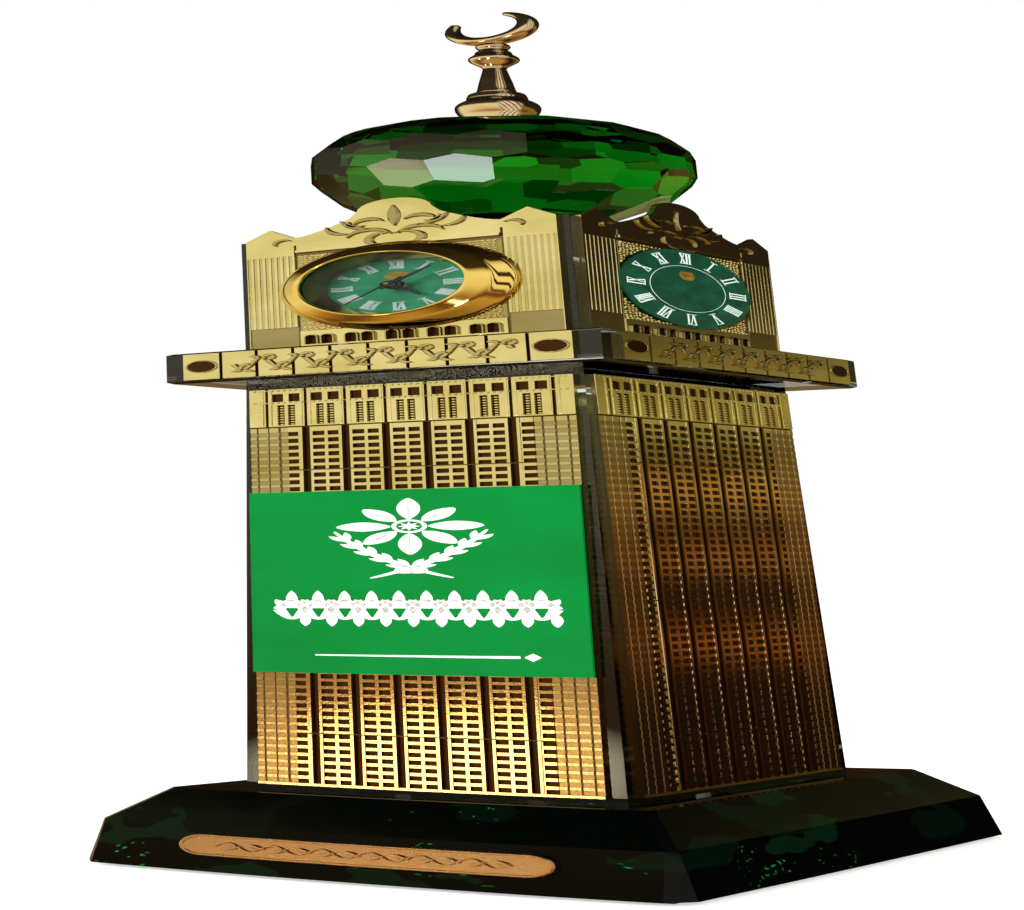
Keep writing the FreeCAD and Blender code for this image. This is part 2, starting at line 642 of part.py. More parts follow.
def make_crescent():
    """Horn of round section, thick below and thin at the tips, standing on the spire."""
    radius = size("crescent_radius")
    span = size("crescent_span")
    middle = 270 + size("crescent_turn")
    sections = []
    count = 16
    for number in range(count + 1):
        share = 2.0 * number / count - 1
        angle = math.radians(middle + share * span / 2)
        thick = size("crescent_thin") + (size("crescent_thick") - size("crescent_thin")) * (1 - share ** 2)
        outward = Vector(math.cos(angle), 0, math.sin(angle))
        along = Vector(-math.sin(angle), 0, math.cos(angle))
        ring = Part.Circle(outward * (radius - thick + size("crescent_thick")), along, thick)
        sections.append(Part.Wire(ring.toShape()))
    horn = Part.makeLoft(sections, True, False)
    crescent = doc.addObject("Part::Feature", "horn")
    crescent.Shape = horn
    rise = f"{BALL_TOP} + finial_base_height + finial_spire_height + crescent_radius + crescent_thick - 0.35"
    register(crescent, "crescent", placement("0", "0", rise))


# ---------------------------------------------------------------- clock insert: case and front
LENS_BACK = "(-bezel_height + lens_setback + lens_thickness)"
DIAL_BACK = "(dial_setback + dial_thickness)"
CASE_BACK = "(dial_setback + dial_thickness + case_depth)"
SKIRT = "(lens_radius + skirt_wall)"
CASE_RADIUS = "(bore_radius - slip - grip_wall)"


def make_insert():
    middle = facing_out("0", "0", CLOCK_Z)
    turned("insert_bezel", [
        ("opening_radius", "-bezel_height + 0.15"),
        ("bezel_lip_radius", "-bezel_height"),
        ("bezel_radius - bezel_shoulder", "-bezel_height + bezel_fall"),
        ("bezel_radius", "-bezel_edge"),
        ("bezel_radius", "0"),
        (SKIRT, "0"), (SKIRT, "skirt_depth"), ("lens_radius", "skirt_depth"),
        ("lens_radius", "-bezel_height + lens_setback"),
        ("opening_radius", "-bezel_height + lens_setback")],
        middle)
    turned("insert_lens", [
        ("0", "-bezel_height + lens_setback - 0.1"), ("opening_radius - 0.1", "-bezel_height + lens_setback"),
        ("lens_radius", "-bezel_height + lens_setback"), ("lens_radius", LENS_BACK), ("0", LENS_BACK)],
        middle)
    turned("insert_ring", [
        ("lens_radius", LENS_BACK), ("lens_radius", "dial_setback"),
        ("ring_inner_radius", "dial_setback"), ("lens_radius - 0.35", LENS_BACK)],
        middle)
    turned("insert_dial", [
        ("hour_tube_radius + gap", "dial_setback"), ("lens_radius", "dial_setback"),
        ("lens_radius", DIAL_BACK), ("hour_tube_radius + gap", DIAL_BACK)],
        middle)
    inside = f"({CASE_RADIUS} - case_wall)"
    step = f"({DIAL_BACK} + 0.5)"
    turned("insert_case", [
        ("hour_tube_radius + gap", DIAL_BACK), ("lens_radius", DIAL_BACK),
        ("lens_radius", "skirt_depth"), (CASE_RADIUS, "skirt_depth"),
        (CASE_RADIUS, CASE_BACK), (inside, CASE_BACK), (inside, "skirt_depth + case_wall"),
        ("lens_radius - case_wall", "skirt_depth + case_wall"), ("lens_radius - case_wall", step),
        ("hour_tube_radius + gap", step)],
        middle)
    start = "(skirt_depth + 0.8)"
    turned("grip_ring", [
        (CASE_RADIUS, start), ("bore_radius - slip", f"{start} + 0.3"),
        ("bore_radius - slip", f"{start} + grip_width - 0.3"), (CASE_RADIUS, f"{start} + grip_width")],
        middle)


# ---------------------------------------------------------------- clock insert: movement
def toothed(teeth, pitch, low, high, phase):
    """Straight-sided teeth, thinner than their gaps; phase is the direction of one tooth in degrees."""
    module = 2.0 * pitch / teeth
    corners = []
    for number in range(teeth):
        for share, reach in ((-0.30, -1.2), (-0.10, 0.75), (0.10, 0.75), (0.30, -1.2)):
            angle = math.radians(phase) + 2 * math.pi * (number + share) / teeth
            radius = pitch + reach * module
            corners.append(Vector(radius * math.cos(angle), radius * math.sin(angle), low))
    return Part.Face(Part.makePolygon(corners + corners[:1])).extrude(Vector(0, 0, high - low))


def gear(label, teeth_levels, round_levels, place, bore=None):
    """A wheel with its pinion and arbor, along the local upright.

    teeth_levels holds (start, end, teeth, pitch radius, phase), round_levels (start, end, radius).
    """
    parts = [toothed(teeth, pitch, size(start), size(end), phase)
             for start, end, teeth, pitch, phase in teeth_levels]
    parts += [Part.makeCylinder(size(radius), size(end) - size(start), Vector(0, 0, size(start)))
              for start, end, radius in round_levels]
    solid = parts[0].fuse(parts[1:]) if len(parts) > 1 else parts[0]
    if bore:
        box = solid.BoundBox
        solid = solid.cut(Part.makeCylinder(size(bore), box.ZLength + 2, Vector(0, 0, box.ZMin - 1)))
    wheel = doc.addObject("Part::Feature", label + "_solid")
    wheel.Shape = solid.removeSplitter()
    return register(wheel, label, place)


def pitch_radius(centre, own, other):
    """Pitch radius of a wheel from the distance to its partner and the two numbers of teeth."""
    return size(centre) * own / (own + other)


def tooth_at(direction):
    """Phase that points a tooth along a direction of the front view (whose upright is turned over)."""
    return -size(direction)


def gap_at(direction, teeth):
    """Phase that points a gap between teeth along a direction of the front view."""
    return -size(direction) + 180.0 / teeth


def meshing_phase(direction, driver_teeth, driver_phase, teeth):
    """Phase of a wheel so that it meshes with a driver that lies back along the direction."""
    share = driver_teeth * (-size(direction) - driver_phase) / 360.0
    return -size(direction) + 180.0 - 360.0 / teeth * (0.5 - share)


FLOOR = f"({DIAL_BACK} + 0.75)"
HOUR_FACE = "(dial_setback - 0.9)"
MINUTE_FACE = "(dial_setback - 1.4)"
SECOND_FACE = "(dial_setback - 1.9)"
ARBOR_END = "(bridge_depth - 0.05)"


def level(number):
    """Front of a layer of wheels, counted from the dial backwards."""
    return f"({FLOOR} + {number} * (wheel_thickness + 0.2))"


def layer(number):
    """Front and back of the wheel in a layer."""
    return level(number), f"({level(number)} + wheel_thickness)"


def from_middle(distance, direction):
    """Two expressions: where a point lies from the middle of the dial in the front view."""
    return f"({distance} * cos({direction}))", f"({distance} * sin({direction}))"


THIRD = from_middle("third_centre", "third_angle")
FIFTH = from_middle("fifth_centre", "fifth_angle")
MOTION = from_middle("motion_centre", "motion_angle")
FIFTH_TO_ROTOR = from_middle("rotor_centre", "rotor_angle")
MOTION_TO_STEM = from_middle("motion_centre", "knob_angle")
ROTOR = tuple(f"({a} + {b})" for a, b in zip(FIFTH, FIFTH_TO_ROTOR))
STEM = tuple(f"({a} + {b})" for a, b in zip(MOTION, MOTION_TO_STEM))


def arbor_place(spot):
    return facing_out(spot[0], "0", f"{CLOCK_Z} + {spot[1]}")


def make_going_train():
    """Rotor to fifth wheel to second wheel to third wheel to centre wheel: 30:1, then 60:1."""
    middle = facing_out("0", "0", CLOCK_Z)
    gear("centre_wheel",
         [layer(2) + (64, pitch_radius("third_centre", 64, 8), gap_at("third_angle", 64))], [],
         middle, "second_arbor_radius + gap")
    gear("third_wheel",
         [(level(2), level(3), 8, pitch_radius("third_centre", 8, 64), tooth_at("third_angle + 180")),
          layer(3) + (60, pitch_radius("third_centre", 60, 8), gap_at("third_angle + 180", 60))],
         [(f"({level(2)} - 0.1)", ARBOR_END, "0.25")], arbor_place(THIRD))
    gear("second_wheel",
         [(level(3), level(4), 8, pitch_radius("third_centre", 8, 60), tooth_at("third_angle")),
          layer(4) + (60, pitch_radius("fifth_centre", 60, 10), gap_at("fifth_angle", 60))],
         [(SECOND_FACE, ARBOR_END, "second_arbor_radius")], middle)
    gear("fifth_wheel",
         [(level(4), level(5), 10, pitch_radius("fifth_centre", 10, 60), tooth_at("fifth_angle + 180")),
          layer(5) + (30, pitch_radius("rotor_centre", 30, 6), gap_at("rotor_angle", 30))],
         [(f"({level(4)} - 0.1)", ARBOR_END, "0.3")], arbor_place(FIFTH))
    gear("rotor",
         [(level(5), level(6), 6, pitch_radius("rotor_centre", 6, 30), tooth_at("rotor_angle + 180"))],
         [(level(6), f"({level(6)} + 0.9)", "rotor_radius"), (f"({level(5)} - 0.2)", f"({level(6)} + 1.1)", "0.2")],
         arbor_place(ROTOR))


def make_motion_work():
    """Cannon pinion to motion wheel to hour wheel, 12:1, set by a stem that comes out at the back."""
    middle = facing_out("0", "0", CLOCK_Z)
    motion_phase = tooth_at("motion_angle + 180")
    gear("cannon_pinion",
         [layer(1) + (12, pitch_radius("motion_centre", 12, 36), gap_at("motion_angle", 12))],
         [(MINUTE_FACE, f"({level(2)} - 0.1)", "cannon_radius")], middle, "second_arbor_radius + gap")
    gear("motion_wheel",
         [layer(1) + (36, pitch_radius("motion_centre", 36, 12), motion_phase),
          (level(0), level(1), 9, pitch_radius("motion_centre", 9, 36), tooth_at("motion_angle + 180"))],
         [(f"({level(0)} - 0.12)", f"({level(2)} - 0.1)", "0.3")], arbor_place(MOTION))
    gear("hour_wheel",
         [layer(0) + (36, pitch_radius("motion_centre", 36, 9), gap_at("motion_angle", 36))],
         [(HOUR_FACE, f"({level(0)} + wheel_thickness)", "hour_tube_radius")], middle, "cannon_radius + gap")
    gear("setting_knob",
         [layer(1) + (12, pitch_radius("motion_centre", 12, 36),
                      meshing_phase("knob_angle", 36, motion_phase, 12)),
          (f"({CASE_BACK} + 0.1)", f"({CASE_BACK} + 0.9)", 24, size("knob_radius"), 0)],
         [(f"({level(1)} - 0.1)", f"({CASE_BACK} + 0.9)", "stem_radius")], arbor_place(STEM))


def hand_outline(sketch, length, root, tip, tail):
    """Tapering hand with a tail; it lies along the sketch's upright."""
    polygon(sketch, [(f"-{root}", f"-{tail}"), (root, f"-{tail}"), (root, "0"), (tip, length),
                     (f"-{tip}", length), (f"-{root}", "0")])


def make_hand(name, length, root, tip, tail, hub, bore, depth, angle):
    """A pressed hand on its tube; angle is the time it shows, clockwise from twelve."""
    body = new_body(name)
    blade = new_sketch(body, name + "_blade")
    hand_outline(blade, length, root, tip, tail)
    pad(body, blade, "hand_thickness")
    boss = new_sketch(body, name + "_boss")
    circle(boss, hub)
    pad(body, boss, "hand_thickness", name="boss")
    if bore:
        hole = new_sketch(body, name + "_hole", offset="hand_thickness")
        circle(hole, bore)
        pocket(body, hole, "hand_thickness")
    stand = placement("0", f"-{PLATE_FRONT} + {depth}", CLOCK_Z, (1, 0, 0), "90")
    register(body, name, f"{stand} * {placement('0', '0', '0', (0, 0, 1), str(-angle))}")


def make_hands():
    make_hand("hour_hand", "hour_hand_length", "0.34", "0.2", "1.4", "1.35", "hour_tube_radius",
              f"{HOUR_FACE} + hand_thickness", 140)
    make_hand("minute_hand", "minute_hand_length", "0.28", "0.13", "1.7", "1.05", "cannon_radius",
              f"{MINUTE_FACE} + hand_thickness", 44)
    make_hand("second_hand", "second_hand_length", "0.1", "0.07", "2.6", "0.7", "second_arbor_radius",
              f"{SECOND_FACE} + hand_thickness", 222)


# ---------------------------------------------------------------- clock insert: cover, power and coil
COVER_FRONT = f"({CASE_BACK} - cover_thickness)"
CELL_BACK = f"({COVER_FRONT} - contact_thickness)"
CELL_SPOT = ("cell_across", "cell_up")


def deep_in_case(depth, x="0", up="0"):
    """Placement in the movement: local x to the right, local y downwards, local z inwards."""
    return facing_out(x, depth, f"{CLOCK_Z} + {up}")


def make_cover():
    body = new_body("case_cover")
    sketch = new_sketch(body, "cover_outline")
    circle(sketch, f"{CASE_RADIUS} - case_wall")
    pad(body, sketch, "cover_thickness")
    hole = new_sketch(body, "cover_hole", offset="cover_thickness")
    circle(hole, "stem_radius + gap", STEM[0], f"-{STEM[1]}")
    pocket(body, hole, "cover_thickness")
    register(body, "case_cover", deep_in_case(COVER_FRONT))


def box_piece(name, length, width, height, place):
    block = doc.addObject("Part::Box", name + "_box")
    for side, text in zip(("Length", "Width", "Height"), (length, width, height)):
        block.setExpression(side, on_sheet(text))
    return register(block, name, place)


def make_power():
    cell = doc.addObject("Part::Cylinder", "cell")
    cell.setExpression("Radius", on_sheet("battery_radius"))
    cell.setExpression("Height", on_sheet("battery_height"))
    register(cell, "battery", deep_in_case(f"{CELL_BACK} - battery_height", *CELL_SPOT))
    box_piece("battery_contact", "battery_radius * 2", "contact_width", "contact_thickness",
              f"{deep_in_case(CELL_BACK, *CELL_SPOT)} * {placement('-battery_radius', '-contact_width / 2', '0')}")


def make_board():
    """Board on the cover, with the winding lying on it."""
    box_piece("circuit_board", "board_length", "board_width", "board_thickness",
              f"{deep_in_case(f'{COVER_FRONT} - board_thickness')} * {placement('-board_edge', 'board_drop', '0')}")
    coil = doc.addObject("Part::Cylinder", "winding")
    coil.setExpression("Radius", on_sheet("coil_radius"))
    coil.setExpression("Height", on_sheet("coil_length"))
    lay = placement("-board_edge + 0.7", "board_drop + board_width / 2",
                    f"{COVER_FRONT} - board_thickness - coil_radius", (0, 1, 0), "90")
    register(coil, "coil", f"{deep_in_case('0')} * {lay}")


def make_stator():
    """Flat yoke round the rotor, with a leg that stands on the cover."""
    body = new_body("stator")
    front = f"({level(6)} + 0.2)"
    low, high = f"(-{ROTOR[1]} - rotor_radius - 1)", f"(-{ROTOR[1]} + rotor_radius + 0.6)"
    left, right = f"({ROTOR[0]} - rotor_radius - 0.55)", f"({ROTOR[0]} + rotor_radius + 0.45)"
    plate = new_sketch(body, "yoke", offset=front)
    rectangle(plate, left, low, right, high)
    circle(plate, "rotor_radius + 0.3", ROTOR[0], f"-{ROTOR[1]}", "hole")
    pad(body, plate, "0.5")
    leg = new_sketch(body, "yoke_leg", offset=front)
    rectangle(leg, left, low, right, f"{low} + 0.6")
    pad(body, leg, f"{COVER_FRONT} - {front}", name="leg")
    register(body, "stator", deep_in_case("0"))


def make_bridge():
    """Plate behind the wheels on two posts that stand on the cover."""
    body = new_body("train_bridge")
    plate = new_sketch(body, "bridge_plate", offset="bridge_depth")
    rectangle(plate, f"{THIRD[0]} - 1", f"-{FIFTH[1]} - 0.9", "second_arbor_radius + 0.9", f"-{THIRD[1]} + 1")
    pad(body, plate, "bridge_thickness")
    posts = new_sketch(body, "bridge_posts", offset="bridge_depth")
    circle(posts, "0.35", f"{THIRD[0]} - 0.5", f"-{FIFTH[1]} - 0.4", "post1")
    circle(posts, "0.35", "second_arbor_radius + 0.4", f"board_drop - 0.5", "post2")
    pad(body, posts, f"{COVER_FRONT} - bridge_depth", name="posts")
    register(body, "train_bridge", deep_in_case("0"))


# ---------------------------------------------------------------- build everything
make_base()
make_nameplate()
make_shaft()
for side, turn in SIDES.items():
    make_shaft_plate(side, turn)
make_banner()
make_cornice()
for side, turn in SIDES.items():
    make_cornice_strip(side, turn)
make_block()
for side, turn in SIDES.items():
    make_clock_plate(side, turn)
    if side != "front":
        make_printed_dial(side, turn)
make_seat()
make_ball()
make_finial()
make_crescent()
make_insert()
make_going_train()
make_motion_work()
make_hands()
make_cover()
make_power()
make_board()
make_stator()
make_bridge()
doc.recompute()

for item in doc.Objects:
    if "Invalid" in item.State or "Error" in item.State:
        raise RuntimeError(f"{item.Name} is {item.State}")
for piece in pieces:
    if piece.Shape.isNull() or not piece.Shape.isValid() or piece.Shape.Volume <= 0:
        raise RuntimeError(f"{piece.Label} has no valid shape")

os.makedirs("parts", exist_ok=True)
for piece in pieces:
    piece.Shape.exportStep(f"parts/{piece.Label}.step")
print(len(pieces), "pieces")
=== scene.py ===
import bpy
import numpy as np
from mathutils import Matrix, Vector


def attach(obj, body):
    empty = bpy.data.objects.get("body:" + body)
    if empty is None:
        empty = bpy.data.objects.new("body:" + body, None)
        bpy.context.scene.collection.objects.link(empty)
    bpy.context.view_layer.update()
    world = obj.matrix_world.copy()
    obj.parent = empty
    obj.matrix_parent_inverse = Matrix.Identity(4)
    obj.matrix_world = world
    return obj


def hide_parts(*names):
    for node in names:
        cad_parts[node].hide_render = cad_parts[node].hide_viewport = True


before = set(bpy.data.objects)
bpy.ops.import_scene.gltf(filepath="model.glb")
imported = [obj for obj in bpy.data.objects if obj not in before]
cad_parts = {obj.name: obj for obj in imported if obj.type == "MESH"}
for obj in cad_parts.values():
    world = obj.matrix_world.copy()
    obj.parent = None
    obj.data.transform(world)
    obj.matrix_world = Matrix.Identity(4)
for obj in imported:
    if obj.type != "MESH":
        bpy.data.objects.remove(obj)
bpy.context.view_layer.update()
scene = bpy.context.scene


# ---------------------------------------------------------------- table top, light and camera
# A plain white table top in a soft studio. Polished metal and glass see a warm bright room in front and a
# dark one, with a few low amber bands, behind to the right.


def colour(code):
    """sRGB hex to linear RGBA: each channel c becomes ((c + 0.055) / 1.055) ** 2.4, or c / 12.92 if small."""
    share = np.array([int(code[i : i + 2], 16) for i in (1, 3, 5)]) / 255.0
    linear = np.where(share > 0.04045, ((share + 0.055) / 1.055) ** 2.4, share / 12.92)
    return (*linear.tolist(), 1.0)


def add(tree, kind, inputs=None, stops=None, **settings):
    """Adds a shader node with its settings, the values or links of its inputs, and a ramp's stops."""
    made = tree.nodes.new("ShaderNode" + kind)
    for key, value in settings.items():
        setattr(made, key, value)
    for key, value in (inputs or {}).items():
        if isinstance(value, bpy.types.NodeSocket):
            tree.links.new(value, made.inputs[key])
        elif isinstance(value, str):
            made.inputs[key].default_value = colour(value)
        else:
            made.inputs[key].default_value = value
    if stops:
        while len(made.color_ramp.elements) < len(stops):
            made.color_ramp.elements.new(1.0)
        for element, (place, code) in zip(made.color_ramp.elements, stops):
            element.position = place
            element.color = colour(code)
    return made


def new_finish(name):
    """An empty material and its node tree."""
    made = bpy.data.materials.new(name)
    made.use_nodes = True
    made.node_tree.nodes.clear()
    return made, made.node_tree


MM = 0.001
CAMERA_PLACE = Vector((0.1471, -0.2277, 0.0824))
CAMERA_YAW, CAMERA_PITCH, CAMERA_ROLL = np.radians((33.164, 7.612, -1.433))
HALF_WIDTH_ANGLE = 0.18038  # radians; objects come out 3.2 times too wide
HALF_HEIGHT_TANGENT = 0.51859

forward = Vector((
    -np.sin(CAMERA_YAW) * np.cos(CAMERA_PITCH),
    np.cos(CAMERA_YAW) * np.cos(CAMERA_PITCH),
    np.sin(CAMERA_PITCH),
))
level_right = forward.cross(Vector((0, 0, 1))).normalized()
level_up = level_right.cross(forward)
right = np.cos(CAMERA_ROLL) * level_right + np.sin(CAMERA_ROLL) * level_up
up = np.cos(CAMERA_ROLL) * level_up - np.sin(CAMERA_ROLL) * level_right
lens_data = bpy.data.cameras.new("camera")
lens_data.type = "PANO"
lens_data.panorama_type = "CENTRAL_CYLINDRICAL"
lens_data.central_cylindrical_range_u_min = -HALF_WIDTH_ANGLE
lens_data.central_cylindrical_range_u_max = HALF_WIDTH_ANGLE
lens_data.central_cylindrical_range_v_min = -HALF_HEIGHT_TANGENT
lens_data.central_cylindrical_range_v_max = HALF_HEIGHT_TANGENT
lens_data.central_cylindrical_radius = 1.0
camera = bpy.data.objects.new("camera", lens_data)
camera.matrix_world = Matrix.Translation(CAMERA_PLACE) @ Matrix((right, up, -forward)).transposed().to_4x4()
scene.collection.objects.link(camera)
scene.camera = camera
scene.view_settings.view_transform = "Standard"

FLOOR_HALF = 30.0  # metres
floor_mesh = bpy.data.meshes.new("floor")
floor_mesh.from_pydata(
    [(x * FLOOR_HALF, y * FLOOR_HALF, 0) for x, y in ((-1, -1), (1, -1), (1, 1), (-1, 1))], [], [(0, 1, 2, 3)]
)
floor = bpy.data.objects.new("floor", floor_mesh)
scene.collection.objects.link(floor)
# White lacquered table top: near-white, faintly self-lit so that it meets the backdrop without an edge.
table_white, tree = new_finish("white_lacquered_table_top")
where = add(tree, "TexCoord").outputs["Object"]
cloud = add(tree, "TexNoise", {"Vector": where, "Scale": 6.0})
white = add(tree, "ValToRGB", {"Fac": cloud.outputs["Fac"]}, [(0.3, "#f6f6f6"), (0.7, "#fbfbfb")])
shader = add(tree, "BsdfPrincipled", {
    "Base Color": white.outputs["Color"], "Roughness": 0.7,
    "Emission Color": "#ffffff", "Emission Strength": 0.5,
})
add(tree, "OutputMaterial", {"Surface": shader.outputs[0]})
floor_mesh.materials.append(table_white)
floor.visible_glossy = False
floor.visible_transmission = False

# The room: white to the camera; to reflections a bright warm front and a dark back with amber bands by
# height, which turns warm and light low down on the left.
room = bpy.data.worlds.new("studio_room")
scene.world = room
room.use_nodes = True
tree = room.node_tree
tree.nodes.clear()
direction = add(tree, "TexCoord").outputs["Generated"]
parts = add(tree, "SeparateXYZ", {"Vector": direction})
rise = add(tree, "MapRange", {"Value": parts.outputs["Z"], "From Min": -1.0, "From Max": 1.0})
front_side = add(tree, "ValToRGB", {"Fac": rise.outputs[0]}, [
    (0.0, "#6a5030"), (0.275, "#c8a468"), (0.33, "#7a5630"), (0.36, "#6a4a2c"), (0.44, "#b08458"),
    (0.5, "#dcc79a"), (0.56, "#f6ecd0"),
    (0.70, "#fff8e0"), (0.73, "#c8b890"), (0.75, "#3a342a"), (1.0, "#15130f"),
])
back_side = add(tree, "ValToRGB", {"Fac": rise.outputs[0]}, [
    (0.0, "#5a4830"), (0.27, "#a88c58"), (0.32, "#6a5436"), (0.37, "#1c1a18"), (0.452, "#181412"),
    (0.462, "#a8662e"), (0.474, "#5a3018"), (0.482, "#181210"),
    (0.500, "#1c1410"), (0.507, "#b0703a"), (0.520, "#6a3a1c"), (0.528, "#181210"), (0.548, "#c89050"),
    (0.566, "#54401f"), (0.59, "#a89a60"), (0.62, "#786c46"), (0.65, "#2a2018"), (1.0, "#14100c"),
])
facing = add(tree, "MapRange", {"Value": parts.outputs["Y"], "From Min": 0.25, "From Max": -0.2},
             interpolation_type="SMOOTHSTEP")
left_back = add(tree, "ValToRGB", {"Fac": rise.outputs[0]}, [
    (0.0, "#3a2a18"), (0.36, "#9a7c4c"), (0.45, "#dcb878"), (0.53, "#ecd8a0"), (0.58, "#6a4a24"),
    (0.63, "#24160a"), (1.0, "#14100c"),
])
leftward = add(tree, "MapRange", {"Value": parts.outputs["X"], "From Min": 0.25, "From Max": -0.1},
               interpolation_type="SMOOTHSTEP")
behind_us = add(tree, "MixRGB", {
    "Fac": leftward.outputs[0], 1: back_side.outputs[0], 2: left_back.outputs[0],
})
two_sides = add(tree, "MixRGB", {"Fac": facing.outputs[0], 1: behind_us.outputs[0], 2: front_side.outputs[0]})
# an upright window bay with dark bars on the right of the front, seen in the bezel
bay = add(tree, "TexWave", {"Vector": direction, "Scale": 1.9, "Distortion": 2.0, "Detail": 2.0},
          bands_direction="DIAGONAL")
bay_bars = add(tree, "ValToRGB", {"Fac": bay.outputs["Fac"]}, [
    (0.25, "#2a1206"), (0.4, "#ffe9b8"), (0.8, "#ffffff"),
])
bay_place = add(tree, "VectorMath", {0: direction, 1: (0.86, -0.40, 0.32)}, operation="DOT_PRODUCT")
bay_mask = add(tree, "MapRange", {"Value": bay_place.outputs["Value"], "From Min": 0.80, "From Max": 0.92})
with_bay = add(tree, "MixRGB", {"Fac": bay_mask.outputs[0], 1: two_sides.outputs[0], 2: bay_bars.outputs[0]})
reflected = add(tree, "Background", {"Color": with_bay.outputs[0], "Strength": 1.0})
# two small bright lamps, both low in front: one for the foot of the plates, one for a facet of the ball
lamp_light = reflected
for aim, near, strength, tint in (((-0.560, -0.803, -0.203), 0.9982, 6.0, "#fff2c8"),
                                  ((0.117, -0.949, -0.297), 0.9982, 12.0, "#dfeee6")):
    place = add(tree, "VectorMath", {0: direction, 1: aim}, operation="DOT_PRODUCT")
    mask = add(tree, "MapRange", {
        "Value": place.outputs["Value"], "From Min": near - 0.0012, "From Max": near,
    })
    lamp = add(tree, "Background", {"Color": tint, "Strength": strength})
    lamp_light = add(tree, "MixShader", {0: mask.outputs[0], 1: lamp_light.outputs[0], 2: lamp.outputs[0]})
# through glass the room behind is a bright backdrop, darker towards the floor and the ceiling
through = add(tree, "ValToRGB", {"Fac": rise.outputs[0]}, [
    (0.0, "#3c403c"), (0.40, "#707870"), (0.49, "#98a098"), (0.51, "#c4c8c2"), (0.68, "#ffffff"),
    (1.0, "#505050"),
])
backdrop_side = add(tree, "MapRange", {"Value": parts.outputs["X"], "From Min": 0.55, "From Max": -0.2},
                    interpolation_type="SMOOTHSTEP")
backdrop = add(tree, "MixRGB", {"Fac": backdrop_side.outputs[0], 1: "#14120f", 2: through.outputs[0]})
clutter = add(tree, "TexVoronoi", {"Vector": direction, "Scale": 3.2}, feature="F1")
clutter_tone = add(tree, "ValToRGB", {"Fac": clutter.outputs["Color"]}, [
    (0.0, "#303030"), (0.38, "#3a3a3a"), (0.42, "#9a9a9a"), (0.62, "#f0f0f0"), (1.0, "#ffffff"),
])
patched = add(tree, "MixRGB", {
    "Fac": 0.9, 1: backdrop.outputs[0], 2: clutter_tone.outputs[0],
}, blend_type="MULTIPLY")
behind = add(tree, "Background", {"Color": patched.outputs[0], "Strength": 1.2})
even = add(tree, "Background", {"Color": "#fff8ee", "Strength": 0.75})
plain = add(tree, "Background", {"Color": "#ffffff", "Strength": 1.0})
ray = add(tree, "LightPath")
seen = add(tree, "MixShader", {0: ray.outputs["Is Glossy Ray"], 1: even.outputs[0], 2: lamp_light.outputs[0]})
seen = add(tree, "MixShader", {
    0: ray.outputs["Is Transmission Ray"], 1: seen.outputs[0], 2: behind.outputs[0],
})
seen = add(tree, "MixShader", {0: ray.outputs["Is Camera Ray"], 1: seen.outputs[0], 2: plain.outputs[0]})
add(tree, "OutputWorld", {"Surface": seen.outputs[0]})

for name, place, size, power in (("key_light", (-0.55, -0.75, 0.75), 0.6, 9.0),
                                 ("fill_light", (0.8, -0.5, 0.5), 0.8, 4.0)):
    light_data = bpy.data.lights.new(name, "AREA")
    light_data.size = size
    light_data.energy = power
    light = bpy.data.objects.new(name, light_data)
    light.location = place
    light.rotation_mode = "QUATERNION"
    light.rotation_quaternion = (Vector((0, 0, 0.13)) - Vector(place)).to_track_quat("-Z", "Y")
    light.visible_glossy = False
    light.visible_transmission = False
    scene.collection.objects.link(light)


# ---------------------------------------------------------------- felt pad and glass base
# Moulded and polished block of bottle glass, so dark that it reads black, with painted green glints (pools and
# sparks) standing in for light that gets through. It stands on a pad of die-cut wool felt glued to its
# underside.


def dress(names, finish):
    """Gives these CAD nodes one finish."""
    for name in names:
        node_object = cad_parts[name]
        node_object.data.materials.clear()
        node_object.data.materials.append(finish)


BASE_GLINT_POOL = 9.1  # mm, width of the painted glint pools of paler green

dark_glass, tree = new_finish("bottle_glass_near_black_painted_glints")
where = add(tree, "TexCoord").outputs["Object"]
bent = add(tree, "TexNoise", {"Vector": where, "Scale": 90.0, "Detail": 3.0})
moved = add(tree, "MixRGB", {"Fac": 0.012, 1: where, 2: bent.outputs["Color"]}, blend_type="LINEAR_LIGHT")
# painted glints: soft pools of paler green, and bright green sparks in clusters, stand in for light through
# the glass
painted_glint_pools = add(tree, "TexVoronoi", {"Vector": moved.outputs[0], "Scale": 1000 / BASE_GLINT_POOL}, feature="F1")
painted_glint_tone = add(tree, "ValToRGB", {"Fac": painted_glint_pools.outputs["Color"]}, [
    (0.0, "#010201"), (0.70, "#010302"), (0.84, "#04180a"), (0.90, "#020a05"), (1.0, "#010201"),
])
painted_spark_cells = add(tree, "TexVoronoi", {"Vector": moved.outputs[0], "Scale": 620.0}, feature="F1")
painted_spark_spot = add(tree, "ValToRGB", {"Fac": painted_spark_cells.outputs["Distance"]}, [(0.0, "#ffffff"), (0.26, "#000000")])
cluster = add(tree, "TexNoise", {"Vector": where, "Scale": 95.0, "Detail": 2.0})
painted_spark_cluster_mask = add(tree, "ValToRGB", {"Fac": cluster.outputs["Fac"]}, [(0.60, "#000000"), (0.68, "#ffffff")])
painted_spark_mask = add(tree, "MixRGB", {"Fac": 1.0, 1: painted_spark_spot.outputs[0], 2: painted_spark_cluster_mask.outputs[0]},
                 blend_type="MULTIPLY")
# base colour: near-black glass with the painted glint pools and painted sparks laid in
tone = add(tree, "MixRGB", {"Fac": painted_spark_mask.outputs[0], 1: painted_glint_tone.outputs[0], 2: "#12b84e"})
ripple = add(tree, "TexNoise", {"Vector": where, "Scale": 160.0, "Detail": 1.0})
swell = add(tree, "Bump", {"Height": ripple.outputs["Fac"], "Strength": 0.08, "Distance": 0.0004})
shader = add(tree, "BsdfPrincipled", {
    "Base Color": tone.outputs[0], "Roughness": 0.06, "Specular IOR Level": 0.12, "Normal": swell.outputs[0],
})
add(tree, "OutputMaterial", {"Surface": shader.outputs[0]})
dress(["base_block"], dark_glass)


